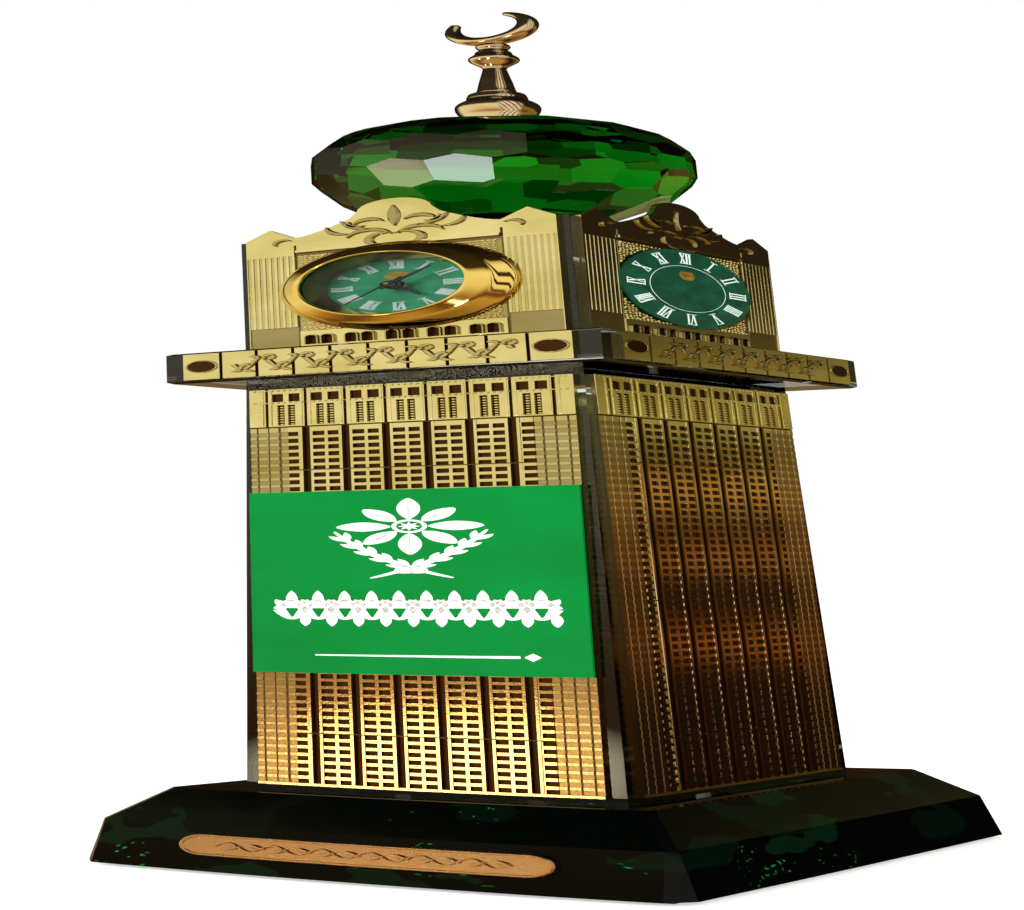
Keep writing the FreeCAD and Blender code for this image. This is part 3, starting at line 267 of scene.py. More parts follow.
def polished(name, dark, light, scale, detail, gloss, settings, dents=None):
    """A clean finish with a faint mottle of so many cells per metre, which tints it and, where gloss gives two
    ends, moves its roughness between them; dents gives the strength and depth of a bump from the
    same mottle."""
    made, tree = new_finish(name)
    where = add(tree, "TexCoord").outputs["Object"]
    mottle = add(tree, "TexNoise", {"Vector": where, "Scale": scale, "Detail": detail}).outputs["Fac"]
    tone = add(tree, "ValToRGB", {"Fac": mottle}, [(0.3, dark), (0.7, light)])
    inputs = {"Base Color": tone.outputs[0], **settings}
    if gloss:
        shine = add(tree, "MapRange", {"Value": mottle, "To Min": gloss[0], "To Max": gloss[1]})
        inputs["Roughness"] = shine.outputs[0]
    if dents:
        bump = add(tree, "Bump", {"Height": mottle, "Strength": dents[0], "Distance": dents[1]})
        inputs["Normal"] = bump.outputs[0]
    shader = add(tree, "BsdfPrincipled", inputs)
    add(tree, "OutputMaterial", {"Surface": shader.outputs[0]})
    return made


def shaded(name, light, dark, grain, metallic=0.0, roughness=0.5, bump=0.1, stretch=(1, 1, 1)):
    """A finish of two shades over a grain of so many millimetres, which also varies the roughness and stands
    up as a fine bump; stretch draws the grain out along an axis."""
    made, tree = new_finish(name)
    where = add(tree, "TexCoord").outputs["Object"]
    drawn = add(tree, "Mapping", {"Vector": where, "Scale": stretch})
    noise = add(tree, "TexNoise", {"Vector": drawn.outputs[0], "Scale": 1000 / grain / 2, "Detail": 4.0})
    tone = add(tree, "ValToRGB", {"Fac": noise.outputs["Fac"]}, [(0.3, dark), (0.7, light)])
    gloss = add(tree, "MapRange", {
        "Value": noise.outputs["Fac"], "To Min": roughness * 0.8, "To Max": roughness * 1.2,
    })
    relief = add(tree, "Bump", {
        "Height": noise.outputs["Fac"], "Strength": bump, "Distance": grain * MM * 0.2,
    })
    shader = add(tree, "BsdfPrincipled", {
        "Base Color": tone.outputs[0], "Metallic": metallic, "Roughness": gloss.outputs[0],
        "Normal": relief.outputs[0],
    })
    add(tree, "OutputMaterial", {"Surface": shader.outputs[0]})
    return made


# Wool felt: matted fibres, no gloss.
dress(["base_pad"], shaded("wool_felt_black_matted", "#2a2c2a", "#121312", 0.6, roughness=0.95, bump=0.8))


# ---------------------------------------------------------------- gold-plated etched brass
# Etched brass sheet, bright gold plated: the etched ground is sunk, sandy and browner, and the faces left by
# the resist are polished. Nameplate, shaft plates, cornice strips and clock plates are all of it.


def gold(name, light, dark, low, roughness, grain, bump):
    """Gold plate that reddens towards low near the table, wholly below 30 mm and not above 110 mm: on the
    shaft plates a painted warm reflection. Browner where the recess attribute is 1, with sandy grain."""
    made, tree = new_finish(name)
    where = add(tree, "TexCoord").outputs["Object"]
    clouds = add(tree, "TexNoise", {"Vector": where, "Scale": 120.0, "Detail": 3.0})
    sand = add(tree, "TexNoise", {"Vector": where, "Scale": 1000 / grain / 2, "Detail": 3.0})
    tone = add(tree, "ValToRGB", {"Fac": clouds.outputs["Fac"]}, [(0.3, dark), (0.7, light)])
    # painted reflection: by height the colour turns to low, the warm reflection of the lower shaft plates
    height = add(tree, "SeparateXYZ", {"Vector": where})
    foot = add(tree, "MapRange", {"Value": height.outputs["Z"], "From Min": 0.11, "From Max": 0.03})
    painted_reflection_reddened = add(tree, "MixRGB", {"Fac": foot.outputs[0], 1: tone.outputs[0], 2: low})
    sunk = add(tree, "Attribute", attribute_name="recess")
    etched = add(tree, "MixRGB", {"Fac": sunk.outputs["Fac"], 1: painted_reflection_reddened.outputs[0], 2: "#4a3018"})
    gloss = add(tree, "MapRange", {
        "Value": sand.outputs["Fac"], "To Min": roughness * 0.6, "To Max": roughness * 1.4,
    })
    matt = add(tree, "MapRange", {"Value": sunk.outputs["Fac"], "To Min": 0.0, "To Max": 0.25})
    rough = add(tree, "Math", {0: gloss.outputs[0], 1: matt.outputs[0]}, operation="ADD")
    relief = add(tree, "Bump", {
        "Height": sand.outputs["Fac"], "Strength": bump, "Distance": grain * MM * 0.3,
    })
    shader = add(tree, "BsdfPrincipled", {
        "Base Color": etched.outputs[0], "Metallic": 1.0, "Roughness": rough.outputs[0],
        "Normal": relief.outputs[0],
    })
    add(tree, "OutputMaterial", {"Surface": shader.outputs[0]})
    return made


# Third colour: what the gold turns to low down, on the shaft plates a painted warm reflection; the nameplate
# stands wholly below 30 mm, so there it is the plate's own copper tone.
plate_gold = gold("etched_brass_gold_plated", "#ece2a6", "#d6c880", "#d4b078", 0.10, 0.25, 0.12)
copper_gold = gold("nameplate_brass_copper_toned", "#e0bc90", "#c49c6c", "#cca478", 0.24, 0.3, 0.15)


def new_piece(name, points, faces, finish, body, stands_for=(), smooth=False, recess=None):
    """A mesh piece from millimetre points and arrays of faces, each array with one number of corners."""
    mesh = bpy.data.meshes.new(name)
    corners = np.concatenate([np.asarray(f).ravel() for f in faces])
    sizes = np.concatenate([np.full(len(f), np.asarray(f).shape[1]) for f in faces])
    mesh.vertices.add(len(points))
    mesh.vertices.foreach_set("co", (np.asarray(points) * MM).astype(np.float32).ravel())
    mesh.loops.add(len(corners))
    mesh.loops.foreach_set("vertex_index", corners.astype(np.int32))
    mesh.polygons.add(len(sizes))
    mesh.polygons.foreach_set("loop_start", np.concatenate([[0], np.cumsum(sizes)[:-1]]).astype(np.int32))
    mesh.polygons.foreach_set("use_smooth", np.full(len(sizes), smooth))
    mesh.update(calc_edges=True)
    mesh.validate()
    if recess is not None:
        mesh.attributes.new("recess", "FLOAT", "POINT").data.foreach_set("value", recess.astype(np.float32))
    mesh.materials.append(finish)
    made = bpy.data.objects.new(name, mesh)
    scene.collection.objects.link(made)
    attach(made, body)
    if stands_for:
        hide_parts(*stands_for)
    return made


def sheet_grid(rows, columns, closed=False):
    """Corner numbers of the quads between the points of a grid of rows by columns; closed joins the last
    column to the first."""
    number = np.arange(rows * columns).reshape(rows, columns)
    if closed:
        number = np.hstack([number, number[:, :1]])
    return np.stack([number[:-1, :-1], number[1:, :-1], number[1:, 1:], number[:-1, 1:]], -1).reshape(-1, 4)


def etched_slab(across, up, depth, thickness, slope=0.07, warp=None, keep=None):
    """Closed slab with a stepped front. Every line of the grid is doubled and its copies stand a slope apart,
    so each cell is flat at its own depth and joins its neighbours over a narrow ramp. warp moves the points
    of the grid in its plane; keep says which quads stay. The back is the same grid laid flat, and a wall
    joins every open edge of the front to the back."""
    def doubled(lines):
        pairs = np.repeat(lines, 2)[1:-1]
        pairs[1:-1:2] -= slope / 2
        pairs[2:-1:2] += slope / 2
        return pairs
    a, b = np.meshgrid(doubled(across), doubled(up), indexing="ij")
    c = np.repeat(np.repeat(depth, 2, 0), 2, 1)
    if warp:
        a, b = warp(a, b)
    front = np.stack([a, b, thickness - c], -1).reshape(-1, 3)
    back = np.stack([a, b, 0 * c], -1).reshape(-1, 3)
    quads = sheet_grid(*a.shape)
    if keep is not None:
        quads = quads[keep(front[quads])]
    edges = np.stack([quads, np.roll(quads, -1, 1)], -1).reshape(-1, 2)
    key = np.sort(edges, 1)
    key = key[:, 0] * len(front) + key[:, 1]
    _, first, count = np.unique(key, return_index=True, return_counts=True)
    rim = edges[first[count == 1]]
    n = len(front)
    wall = np.stack([rim[:, 1], rim[:, 0], rim[:, 0] + n, rim[:, 1] + n], -1)
    used = np.unique(np.concatenate([quads.ravel(), rim.ravel()]))
    points = np.vstack([front, back])
    recess = np.concatenate([np.clip(c.ravel() / 0.25, 0, 1), np.zeros(n)])
    faces = np.vstack([quads, quads[:, ::-1] + n, wall])
    used = np.concatenate([used, used + n])
    renumber = np.zeros(2 * n, int)
    renumber[used] = np.arange(len(used))
    return points[used], renumber[faces], recess[used]


def strokes(paths, widths, low, high, closed=False):
    """Raised bars: a flat-topped profile of six points carried along each path in the plane. At each point of
    a path the profile lies across its direction, half the width to each side, from low to high."""
    points, faces, start = [], [], 0
    for path, width in zip(paths, widths):
        path = np.asarray(path, float)
        along = np.gradient(path, axis=0)
        if closed:
            along = np.roll(path, -1, 0) - np.roll(path, 1, 0)
        along /= np.linalg.norm(along, axis=1)[:, None] + 1e-12
        side = np.stack([-along[:, 1], along[:, 0]], -1)
        half = np.broadcast_to(np.asarray(width, float) / 2, len(path))[:, None, None]
        shares = np.array([1, 1, 0.6, -0.6, -1, -1])[None, :, None]
        heights = np.array([low, low + 0.6 * (high - low), high, high, low + 0.6 * (high - low), low])
        ring = path[:, None, :] + side[:, None, :] * half * shares
        ring = np.concatenate([ring, np.broadcast_to(heights[None, :, None], (len(path), 6, 1))], -1)
        quads = sheet_grid(len(path), 6, closed=True)
        if closed:
            last = np.arange(6) + 6 * (len(path) - 1)
            first = np.arange(6)
            quads = np.vstack([quads, np.stack([last, first, np.roll(first, -1), np.roll(last, -1)], -1)])
        else:
            ends = np.array([[0, 5, 4, 3], [0, 3, 2, 1]])
            quads = np.vstack([quads, ends[:, ::-1], ends + 6 * (len(path) - 1)])
        points.append(ring.reshape(-1, 3))
        faces.append(quads[:, ::-1] + start)
        start += ring.shape[0] * 6
    return np.concatenate(points), np.concatenate(faces)


def joined(*meshes):
    """Several (points, quads) sets as one."""
    starts = np.cumsum([0] + [len(m[0]) for m in meshes[:-1]])
    return np.concatenate([m[0] for m in meshes]), np.concatenate([m[1] + s for m, s in zip(meshes, starts)])


def turned_about_z(points, degrees):
    """Points turned about the upright axis."""
    a = np.radians(degrees)
    spin = np.array([[np.cos(a), -np.sin(a), 0], [np.sin(a), np.cos(a), 0], [0, 0, 1]])
    return points @ spin.T


def stood(points, half, foot, lean=0.0):
    """Sheet coordinates (across, up, out) on a front face that starts half a width in front of the axis, at
    the height foot, and leans back by so many radians."""
    a, b, c = points.T
    return np.stack([
        a, -half + b * np.sin(lean) - c * np.cos(lean), foot + b * np.cos(lean) + c * np.sin(lean),
    ], -1)


def lines(*sets):
    """Sorted grid lines, without those nearer than a tenth of a millimetre to the one before."""
    found = np.unique(np.round(np.concatenate([np.ravel(s) for s in sets]), 3))
    return found[np.concatenate([[True], np.diff(found) > 0.1])]


def near(grid, centres, half):
    """Which cells between the lines have their middle within half of one of the centres."""
    middle = (grid[1:] + grid[:-1]) / 2
    return (np.abs(middle[:, None] - np.ravel(centres)[None, :]) < half).any(1)


def edges_of(centres, half):
    """Both edges of bars of this half width."""
    return np.ravel(np.ravel(centres)[:, None] + np.array([-half, half]))


def beads(centres, half, low, high):
    """Small square studs with drawn-in tops, one at each centre."""
    centres = np.asarray(centres, float).reshape(-1, 2)
    corner = np.array([[-1, -1], [1, -1], [1, 1], [-1, 1]])
    foot = centres[:, None, :] + corner * half
    head = centres[:, None, :] + corner * half * 0.5
    count = len(centres)
    points = np.concatenate([
        np.concatenate([foot, np.full((count, 4, 1), low)], -1),
        np.concatenate([head, np.full((count, 4, 1), high)], -1)], 1).reshape(-1, 3)
    base = np.array([[4, 5, 6, 7], [0, 3, 2, 1], [0, 1, 5, 4], [1, 2, 6, 5], [2, 3, 7, 6], [3, 0, 4, 7]])
    return points, (base[None] + 8 * np.arange(count)[:, None, None]).reshape(-1, 4)


SIDES = (("front", 0), ("right", 90), ("back", 180), ("left", 270))

# ---------------------------------------------------------------- nameplate
# Etched and copper-toned brass plate with round ends, glued to the sloping front of the base. Its lettering
# is left out; a running leaf ornament stands in its place.
BASE_HALF, WAIST_HALF, WAIST_UP, PAD_TOP = 31.1, 29.5, 12.6, 1.0
FACET_LEAN = np.arctan((BASE_HALF - WAIST_HALF) / (WAIST_UP - PAD_TOP))
PLATE_HALF_LENGTH, PLATE_HALF_WIDTH = 19.25, 2.8
NAMEPLATE_UP = 6.9  # middle of the plate up the slope


def rounded_bar(count, half_length, radius):
    """Outline of a bar with round ends: two half circles joined by straights, anticlockwise."""
    turn = np.linspace(-np.pi / 2, np.pi / 2, count)
    right_end = np.stack([half_length - radius + radius * np.cos(turn), radius * np.sin(turn)], -1)
    return np.vstack([right_end, -right_end])


def lofted(rings):
    """Closed skin over rings with equal numbers of points: quads between rings, a fan of the cap's quads
    folded to its middle point at both ends."""
    rings = np.asarray(rings, float)
    count, around = rings.shape[:2]
    points = rings.reshape(-1, 3)
    quads = sheet_grid(count, around, closed=True)
    low, high = len(points), len(points) + 1
    points = np.vstack([points, rings[0].mean(0), rings[-1].mean(0)])
    first = np.arange(around)
    nxt = np.roll(first, -1)
    last = first + around * (count - 1)
    caps = np.vstack([np.stack([first, nxt, np.full(around, low)], -1),
                      np.stack([np.roll(last, -1), last, np.full(around, high)], -1)])
    return points, [quads, caps]


rings = []
for inset, height in ((0.0, 0.0), (0.0, 0.5), (0.2, 0.7), (0.5, 0.7), (0.62, 0.55), (0.9, 0.55)):
    outline = rounded_bar(24, PLATE_HALF_LENGTH - inset, PLATE_HALF_WIDTH - inset)
    rings.append(np.hstack([outline, np.full((len(outline), 1), height)]))
points, faces = lofted(rings)
faces = [f[:, ::-1] for f in faces]
t = np.linspace(-1, 1, 141)
wave = np.stack([15.0 * t, 0.9 * np.sin(t * np.pi * 6)], -1)
leaf_paths, leaf_widths = [wave], [0.35 + 0 * t]
for number in range(12):
    s = np.linspace(0, 1, 9)
    start_x = -13.75 + 2.5 * number
    hand = 1 if number % 2 else -1
    leaf_paths.append(np.stack([start_x + 1.5 * s, hand * (0.9 - 1.5 * s + 0.3 * s**2)], -1))
    leaf_widths.append(0.12 + 0.75 * np.sin(np.pi * s) ** 0.8)
ornament = strokes(leaf_paths, leaf_widths, 0.5, 0.82)
points_all = np.vstack([points, ornament[0]])
plate_points = stood(points_all + [0, NAMEPLATE_UP, 0], BASE_HALF, PAD_TOP, FACET_LEAN)
new_piece("nameplate_ornamented", plate_points, faces + [ornament[1] + len(points)], copper_gold, "tower",
          ["nameplate"], recess=np.zeros(len(points_all)))

# ---------------------------------------------------------------- shaft
# Ground and polished block of clear crystal, slightly tapered, with an etched plate glued to each face.
clear_crystal = polished("clear_crystal_polished", "#e4ece4", "#f4f8f2", 60.0, 2.0, (0.0, 0.03),
                         {"IOR": 1.52, "Transmission Weight": 1.0})
dress(["shaft_core", "cornice_slab", "clock_block", "ball_seat"], clear_crystal)

SHAFT_FOOT, SHAFT_HALF, SHAFT_HEAD_HALF, SHAFT_HEIGHT = 21.0, 20.0, 19.0, 119.5
SHAFT_LEAN = np.arctan((SHAFT_HALF - SHAFT_HEAD_HALF) / SHAFT_HEIGHT)
PLATE_THICK = 0.6
SHAFT_PLATE_HALF = 18.2
SHAFT_PLATE_FOOT = 1.2
SHAFT_PLATE_LENGTH = SHAFT_HEIGHT / np.cos(SHAFT_LEAN) - SHAFT_PLATE_FOOT - 2.2
BAND = 11.6  # height of the window band at the head
BAY = 4.6
BARE = 12.1  # what the ladders leave free at the head

grooves = BAY * (np.arange(6) - 2.5)
bays = BAY * (np.arange(5) - 2.0)
ladders = np.concatenate([np.ravel(bays[:, None] + [-0.84, 0.84]), [-13.1, 13.1]])
brick_joints = np.array([-17.35, -16.0, -14.65, 14.65, 16.0, 17.35])
band_bays = BAY * (np.arange(7) - 3.0)
dividers = BAY * (np.arange(8) - 3.5)
squares = np.ravel(band_bays[:, None] + [-0.98, 0.98])
slots = np.ravel(band_bays[:, None] + [-0.62, 0.62])
rungs = np.arange(1.3, SHAFT_PLATE_LENGTH - BARE - 0.7, 2.1)
joint_lines = np.array([14.6, 52.0, 91.1])
head = SHAFT_PLATE_LENGTH

across = lines([-SHAFT_PLATE_HALF, SHAFT_PLATE_HALF], edges_of(grooves, 0.42), edges_of(grooves, 0.8),
               edges_of(ladders, 0.62), edges_of(brick_joints, 0.09), edges_of(dividers, 0.14),
               edges_of(squares, 0.62), edges_of(slots, 0.4))
upward = lines([0, head, head - BAND - 0.35, head - BAND], edges_of(rungs, 0.62), edges_of(joint_lines, 0.12),
               edges_of(head - 2.7, 1.2), edges_of(head - 8.1, 3.1), [head - 4.4, head - 0.6])
shaft_zone = (upward[1:] <= head - BAND - 0.3) & (upward[:-1] >= 0.25)
band_zone = upward[:-1] >= head - BAND - 0.01
depth = np.zeros((len(across) - 1, len(upward) - 1))


def sink(columns, rows, value):
    """Sets the depth of the cells where a marked column crosses a marked row."""
    depth[np.outer(columns, rows)] = value


sink(near(across, ladders, 0.64), near(upward, rungs, 0.64) & shaft_zone, 0.26)
sink(near(across, [-16.0, 16.0], 2.2), shaft_zone, 0.06)
sink(near(across, [-16.0, 16.0], 2.2), near(upward, rungs, 0.64) & shaft_zone, 0.12)
sink(near(across, brick_joints, 0.1), shaft_zone, 0.2)
sink(near(across, grooves, 0.82), shaft_zone, -0.06)
sink(near(across, grooves, 0.43), shaft_zone, 0.34)
sink(near(across, [0], 13.7), near(upward, joint_lines, 0.14), 0.2)
sink(near(across, [0], SHAFT_PLATE_HALF), near(upward, [head - BAND - 0.17], 0.2), 0.24)
sink(near(across, dividers, 0.16), band_zone, 0.24)
sink(near(across, squares, 0.64), near(upward, [head - 2.7], 1.22), 0.28)
sink(near(across, slots, 0.42), near(upward, [head - 8.1], 3.12), 0.3)

slab_points, slab_faces, slab_recess = etched_slab(across, upward, depth, PLATE_THICK)
frieze = np.stack(np.meshgrid(np.arange(-17.5, 17.6, 0.7), [head - 4.2, head - 0.45], indexing="ij"), -1)
slats = np.stack(np.meshgrid(slots, np.arange(head - 10.9, head - 5.1, 0.75), indexing="ij"), -1)
frieze_beads = beads(frieze, 0.22, PLATE_THICK - 0.05, PLATE_THICK + 0.12)
slat_beads = beads(slats, 0.3, PLATE_THICK - 0.32, PLATE_THICK - 0.08)
mullions = strokes([np.stack([np.full(2, x), np.array([head - BAND + 0.3, head - 0.3])], -1)
                    for x in np.ravel(dividers[:, None] + [-0.5, 0.5])], [0.3] * 16, PLATE_THICK - 0.05,
                   PLATE_THICK + 0.1)
extra_points, extra_faces = joined(frieze_beads, slat_beads, mullions)
plate_points = np.vstack([slab_points, extra_points])
plate_faces = [slab_faces, extra_faces + len(slab_points)]
plate_recess = np.concatenate([slab_recess, np.zeros(len(extra_points))])
for side, turn in SIDES:
    leaning = stood(plate_points + [0, SHAFT_PLATE_FOOT, 0], SHAFT_HALF, SHAFT_FOOT, SHAFT_LEAN)
    placed = turned_about_z(leaning, turn)
    new_piece("shaft_plate_etched_" + side, placed, plate_faces, plate_gold, "tower",
              ["shaft_plate_" + side], recess=plate_recess)

# ---------------------------------------------------------------- banner
# Sheet metal panel, stove-enamelled green, with an off-white screen print: a rosette over crossed leaf
# sprays, an interlaced band and a thin rule. All of the ornament is generic.
BANNER_FOOT, BANNER_HEIGHT, BANNER_THICK = 32.8, 52.8, 0.3

enamel, tree = new_finish("green_enamel_satin")
where = add(tree, "TexCoord").outputs["Object"]
grain = add(tree, "TexNoise", {"Vector": where, "Scale": 1400.0, "Detail": 3.0})
cloud = add(tree, "TexNoise", {"Vector": where, "Scale": 70.0})
tone = add(tree, "ValToRGB", {"Fac": cloud.outputs["Fac"]}, [(0.3, "#00702a"), (0.7, "#007c32")])
orange_peel = add(tree, "Bump", {"Height": grain.outputs["Fac"], "Strength": 0.12, "Distance": 0.00006})
shader = add(tree, "BsdfPrincipled", {
    "Base Color": tone.outputs[0], "Roughness": 0.42, "Normal": orange_peel.outputs[0],
    "Specular IOR Level": 0.08,
})
add(tree, "OutputMaterial", {"Surface": shader.outputs[0]})
white_ink = shaded("white_screen_ink_matt", "#f2f4ee", "#dfe5dc", 0.5, roughness=0.6, bump=0.15)

panel_lines = lines(np.linspace(-18.2, 18.2, 27))
panel_rows = lines(np.linspace(0, BANNER_HEIGHT, 39))
flat = np.zeros((len(panel_lines) - 1, len(panel_rows) - 1))
points, faces, _ = etched_slab(panel_lines, panel_rows, flat, BANNER_THICK)
GLUE = 0.06  # mm under the panel


def on_banner(sheet):
    """Panel coordinates set on the leaning front plate."""
    return stood(sheet + [0, BANNER_FOOT, PLATE_THICK + GLUE], SHAFT_HALF, SHAFT_FOOT, SHAFT_LEAN)


new_piece("banner_enamel", on_banner(points), [faces], enamel, "tower", ["banner_panel"])


def leaf(foot, heading, length, width, bend=0.0, count=15):
    """Path and widths of a leaf: it leaves its foot in one direction, turns evenly by bend, and its width is
    a half wave raised to 0.8, so that both ends are pointed."""
    s = np.linspace(0, 1, count)
    angle = np.radians(heading) + np.radians(bend) * s
    step = np.stack([np.cos(angle), np.sin(angle)], -1) * length / (count - 1)
    path = np.asarray(foot) + np.vstack([[0, 0], np.cumsum(step[:-1], 0)])
    return path, 0.05 + width * np.sin(np.pi * s) ** 0.8


def star(centre, points_count, outer, inner):
    """Closed path round a star: the radius runs from outer to inner and back once per point."""
    angle = np.linspace(0, 2 * np.pi, 2 * points_count, endpoint=False) + np.pi / 2
    radius = np.where(np.arange(2 * points_count) % 2, inner, outer)
    return np.asarray(centre) + np.stack([radius * np.cos(angle), radius * np.sin(angle)], -1)


def filled(outline, low, high):
    """Closed flat-topped prism over an outline, as rings and fans."""
    rings = [np.hstack([outline, np.full((len(outline), 1), h)]) for h in (low, high)]
    points, faces = lofted(rings)
    return points, [f[:, ::-1] for f in faces]


BANNER_PRINT = (BANNER_THICK - 0.02, BANNER_THICK + 0.06)
print_paths, print_widths = [], []
# rosette: eight pairs of petals round a ring
for heading in np.arange(0, 360, 45.0):
    for bend in (-28, 28):
        path, width = leaf((2.0 * np.cos(np.radians(heading)), 42.0 + 2.0 * np.sin(np.radians(heading))),
                           heading - bend / 2, 5.2 if heading % 90 else 6.2, 1.7, bend)
        print_paths.append(path)
        print_widths.append(width)
for hand in (-1, 1):
    # crossed sprays: a long bent stalk with small leaves on both sides of it
    stalk, width = leaf((-hand * 4.5, 27.2), 90 - hand * 62, 19.0, 0.7, hand * 38, 31)
    print_paths.append(stalk)
    print_widths.append(width + 0.25)
    for number in range(5, 29, 4):
        ahead = np.degrees(np.arctan2(*(stalk[number + 1] - stalk[number])[::-1]))
        for tilt in (-32, 32):
            path, width = leaf(stalk[number], ahead + tilt, 2.6, 0.85, -tilt * 0.5)
            print_paths.append(path)
            print_widths.append(width)
# interlaced band: two waves half a turn apart, with upright stems and buds between them
t = np.linspace(-1, 1, 241)
for phase in (0, np.pi):
    print_paths.append(np.stack([15.0 * t, 18.2 + 2.6 * np.sin(t * np.pi * 5 + phase)], -1))
    print_widths.append(1.05 + 0.4 * np.cos(t * np.pi * 10))
for number, x in enumerate(np.arange(-13.5, 13.6, 3.0)):
    for heading, reach in ((90, 5.0), (90 + 52, 3.1), (90 - 52, 3.1)):
        path, width = leaf((x, 18.6), heading, reach, 1.3, (90 - heading) * 0.6)
        print_paths.append(path)
        print_widths.append(width)
    path, width = leaf((x + 1.5, 17.0), -90, 3.6, 1.2)
    print_paths.append(path)
    print_widths.append(width)
# thin rule that swells towards a small diamond
print_paths.append(np.stack([np.linspace(-11, 11, 41), np.full(41, 5.2)], -1))
print_widths.append(0.35 + 0.35 * np.linspace(0, 1, 41))
print_mesh = strokes(print_paths, print_widths, *BANNER_PRINT)
ring_path = np.array([0, 42.0]) + 1.7 * np.stack([np.cos(np.linspace(0, 2 * np.pi, 40, endpoint=False)),
                                                  np.sin(np.linspace(0, 2 * np.pi, 40, endpoint=False))], -1)
ring_mesh = strokes([ring_path], [0.5], *BANNER_PRINT, closed=True)
star_mesh = filled(star((0, 42.0), 8, 1.3, 0.6), *BANNER_PRINT)
diamond_mesh = filled(star((12.3, 5.2), 2, 1.1, 0.9), *BANNER_PRINT)


def ring_path(radius, count=96, centre=(0, 0), squash=1.0):
    """Closed circle, or an ellipse if squashed upright."""
    turn = np.linspace(0, 2 * np.pi, count, endpoint=False)
    return np.asarray(centre) + radius * np.stack([np.cos(turn), squash * np.sin(turn)], -1)


def gathered(*meshes):
    """Several (points, list of face arrays) sets as one."""
    starts = np.cumsum([0] + [len(m[0]) for m in meshes[:-1]])
    return np.concatenate([m[0] for m in meshes]), [f + s for m, s in zip(meshes, starts) for f in m[1]]


points, faces = gathered(
    (print_mesh[0], [print_mesh[1]]), (ring_mesh[0], [ring_mesh[1]]), star_mesh, diamond_mesh)
new_piece("banner_print", on_banner(points), faces, white_ink, "tower")

# ---------------------------------------------------------------- cornice
# Clear crystal slab with an etched strip glued to each edge: panels between dark joints, a sunk medallion in
# each end panel, and a raised scroll along the middle in place of lettering.
CORNICE_FOOT, CORNICE_HEIGHT, CORNICE_HALF = 140.5, 9.5, 24.4
STRIP_HALF, STRIP_WIDTH = 21.8, 8.0
panel_joints = 4.3 * (np.arange(9) - 4.0)
MEDALLION = 19.55

across = lines([-STRIP_HALF, STRIP_HALF], edges_of(panel_joints, 0.16),
               edges_of([-STRIP_HALF, STRIP_HALF], 0.3)[1:3])
upward = lines([0, 0.35, STRIP_WIDTH - 0.35, STRIP_WIDTH])
depth = np.zeros((len(across) - 1, len(upward) - 1))
sink(near(across, panel_joints, 0.18), np.ones(len(upward) - 1, bool), 0.3)
slab_points, slab_faces, slab_recess = etched_slab(across, upward, depth, PLATE_THICK)
t = np.linspace(-1, 1, 361)
turns = 7
vine = np.stack([15.6 * t, STRIP_WIDTH / 2 + 1.7 * np.sin(t * np.pi * turns)], -1)
scroll_paths, scroll_widths = [vine], [0.62 + 0.16 * np.cos(t * np.pi * turns * 2)]
for number in range(2 * turns):
    hand = 1 if number % 2 else -1
    x = 15.6 * ((number + 0.5) / turns - 1)
    crest = (x, STRIP_WIDTH / 2 + hand * 1.5)
    for heading, reach, bend in ((-hand * 90 + 35, 2.6, hand * 190), (hand * 60, 1.9, -hand * 60),
                                 (hand * 125, 1.7, hand * 70)):
        path, width = leaf(crest, heading, reach, 0.75, bend)
        scroll_paths.append(path)
        scroll_widths.append(width)
scroll = strokes(scroll_paths, scroll_widths, PLATE_THICK - 0.04, PLATE_THICK + 0.22)
around = np.linspace(0, 2 * np.pi, 36, endpoint=False)
medallion_rings = strokes([ring_path(1.85, 36, (x, STRIP_WIDTH / 2)) for x in (-MEDALLION, MEDALLION)],
                          [0.3] * 2, PLATE_THICK - 0.04, PLATE_THICK + 0.12, closed=True)
discs = [filled(np.array([x, STRIP_WIDTH / 2]) + 1.72 * np.stack([np.cos(around), np.sin(around)], -1)
                * (1 + 0.06 * np.cos(6 * around))[:, None], PLATE_THICK - 0.04, PLATE_THICK + 0.03)
         for x in (-MEDALLION, MEDALLION)]
raised_points, raised_faces = joined(scroll, medallion_rings)
points, faces = gathered((slab_points, [slab_faces]), (raised_points, [raised_faces]), *discs)
strip_recess = np.concatenate([
    slab_recess, np.full(len(raised_points), 0.3), np.ones(sum(len(d[0]) for d in discs)),
])
for side, turn in SIDES:
    foot = CORNICE_FOOT + (CORNICE_HEIGHT - STRIP_WIDTH) / 2
    new_piece("cornice_strip_etched_" + side, turned_about_z(stood(points, CORNICE_HALF, foot), turn), faces,
              plate_gold, "tower", ["cornice_strip_" + side], recess=strip_recess)

# ---------------------------------------------------------------- clock plates
# Etched plates of the clock storey: fluted pilasters, a window arcade under the dial, sandy spandrels, and a
# pediment between two pointed merlons. The front one has the bore of the clock in it.
BLOCK_FOOT, BLOCK_HALF = 150.0, 18.95
CLOCK_PLATE_FOOT = 0.5
CLOCK_HALF, CLOCK_TOP = 17.9, 35.5
CLOCK_UP = 17.7  # middle of the dial above the foot of the plate
BORE = 12.1
SCROLL_FIELD = 11.9


def crown(x):
    """Height of the plate's outline over x: gables at both ends, a hollow rise to a shoulder, then an
    elliptic dome in the middle."""
    r = np.abs(x)
    gable = CLOCK_TOP + 3.2 * np.clip(1 - np.abs(r - 14.9) / 3.0, 0, 1)
    hollow = CLOCK_TOP + 4.6 * np.clip((11.9 - r) / 6.7, 0, 1) ** 1.45
    dome = CLOCK_TOP + 6.4 + 3.4 * np.sqrt(np.clip(1 - (r / 4.3) ** 2, 0, 1))
    return np.where(r < 4.3, dome, np.where(r < 5.2, CLOCK_TOP + 4.6 + 1.9 * (5.2 - r) / 0.9,
                                            np.where(r < 11.9, hollow, gable)))


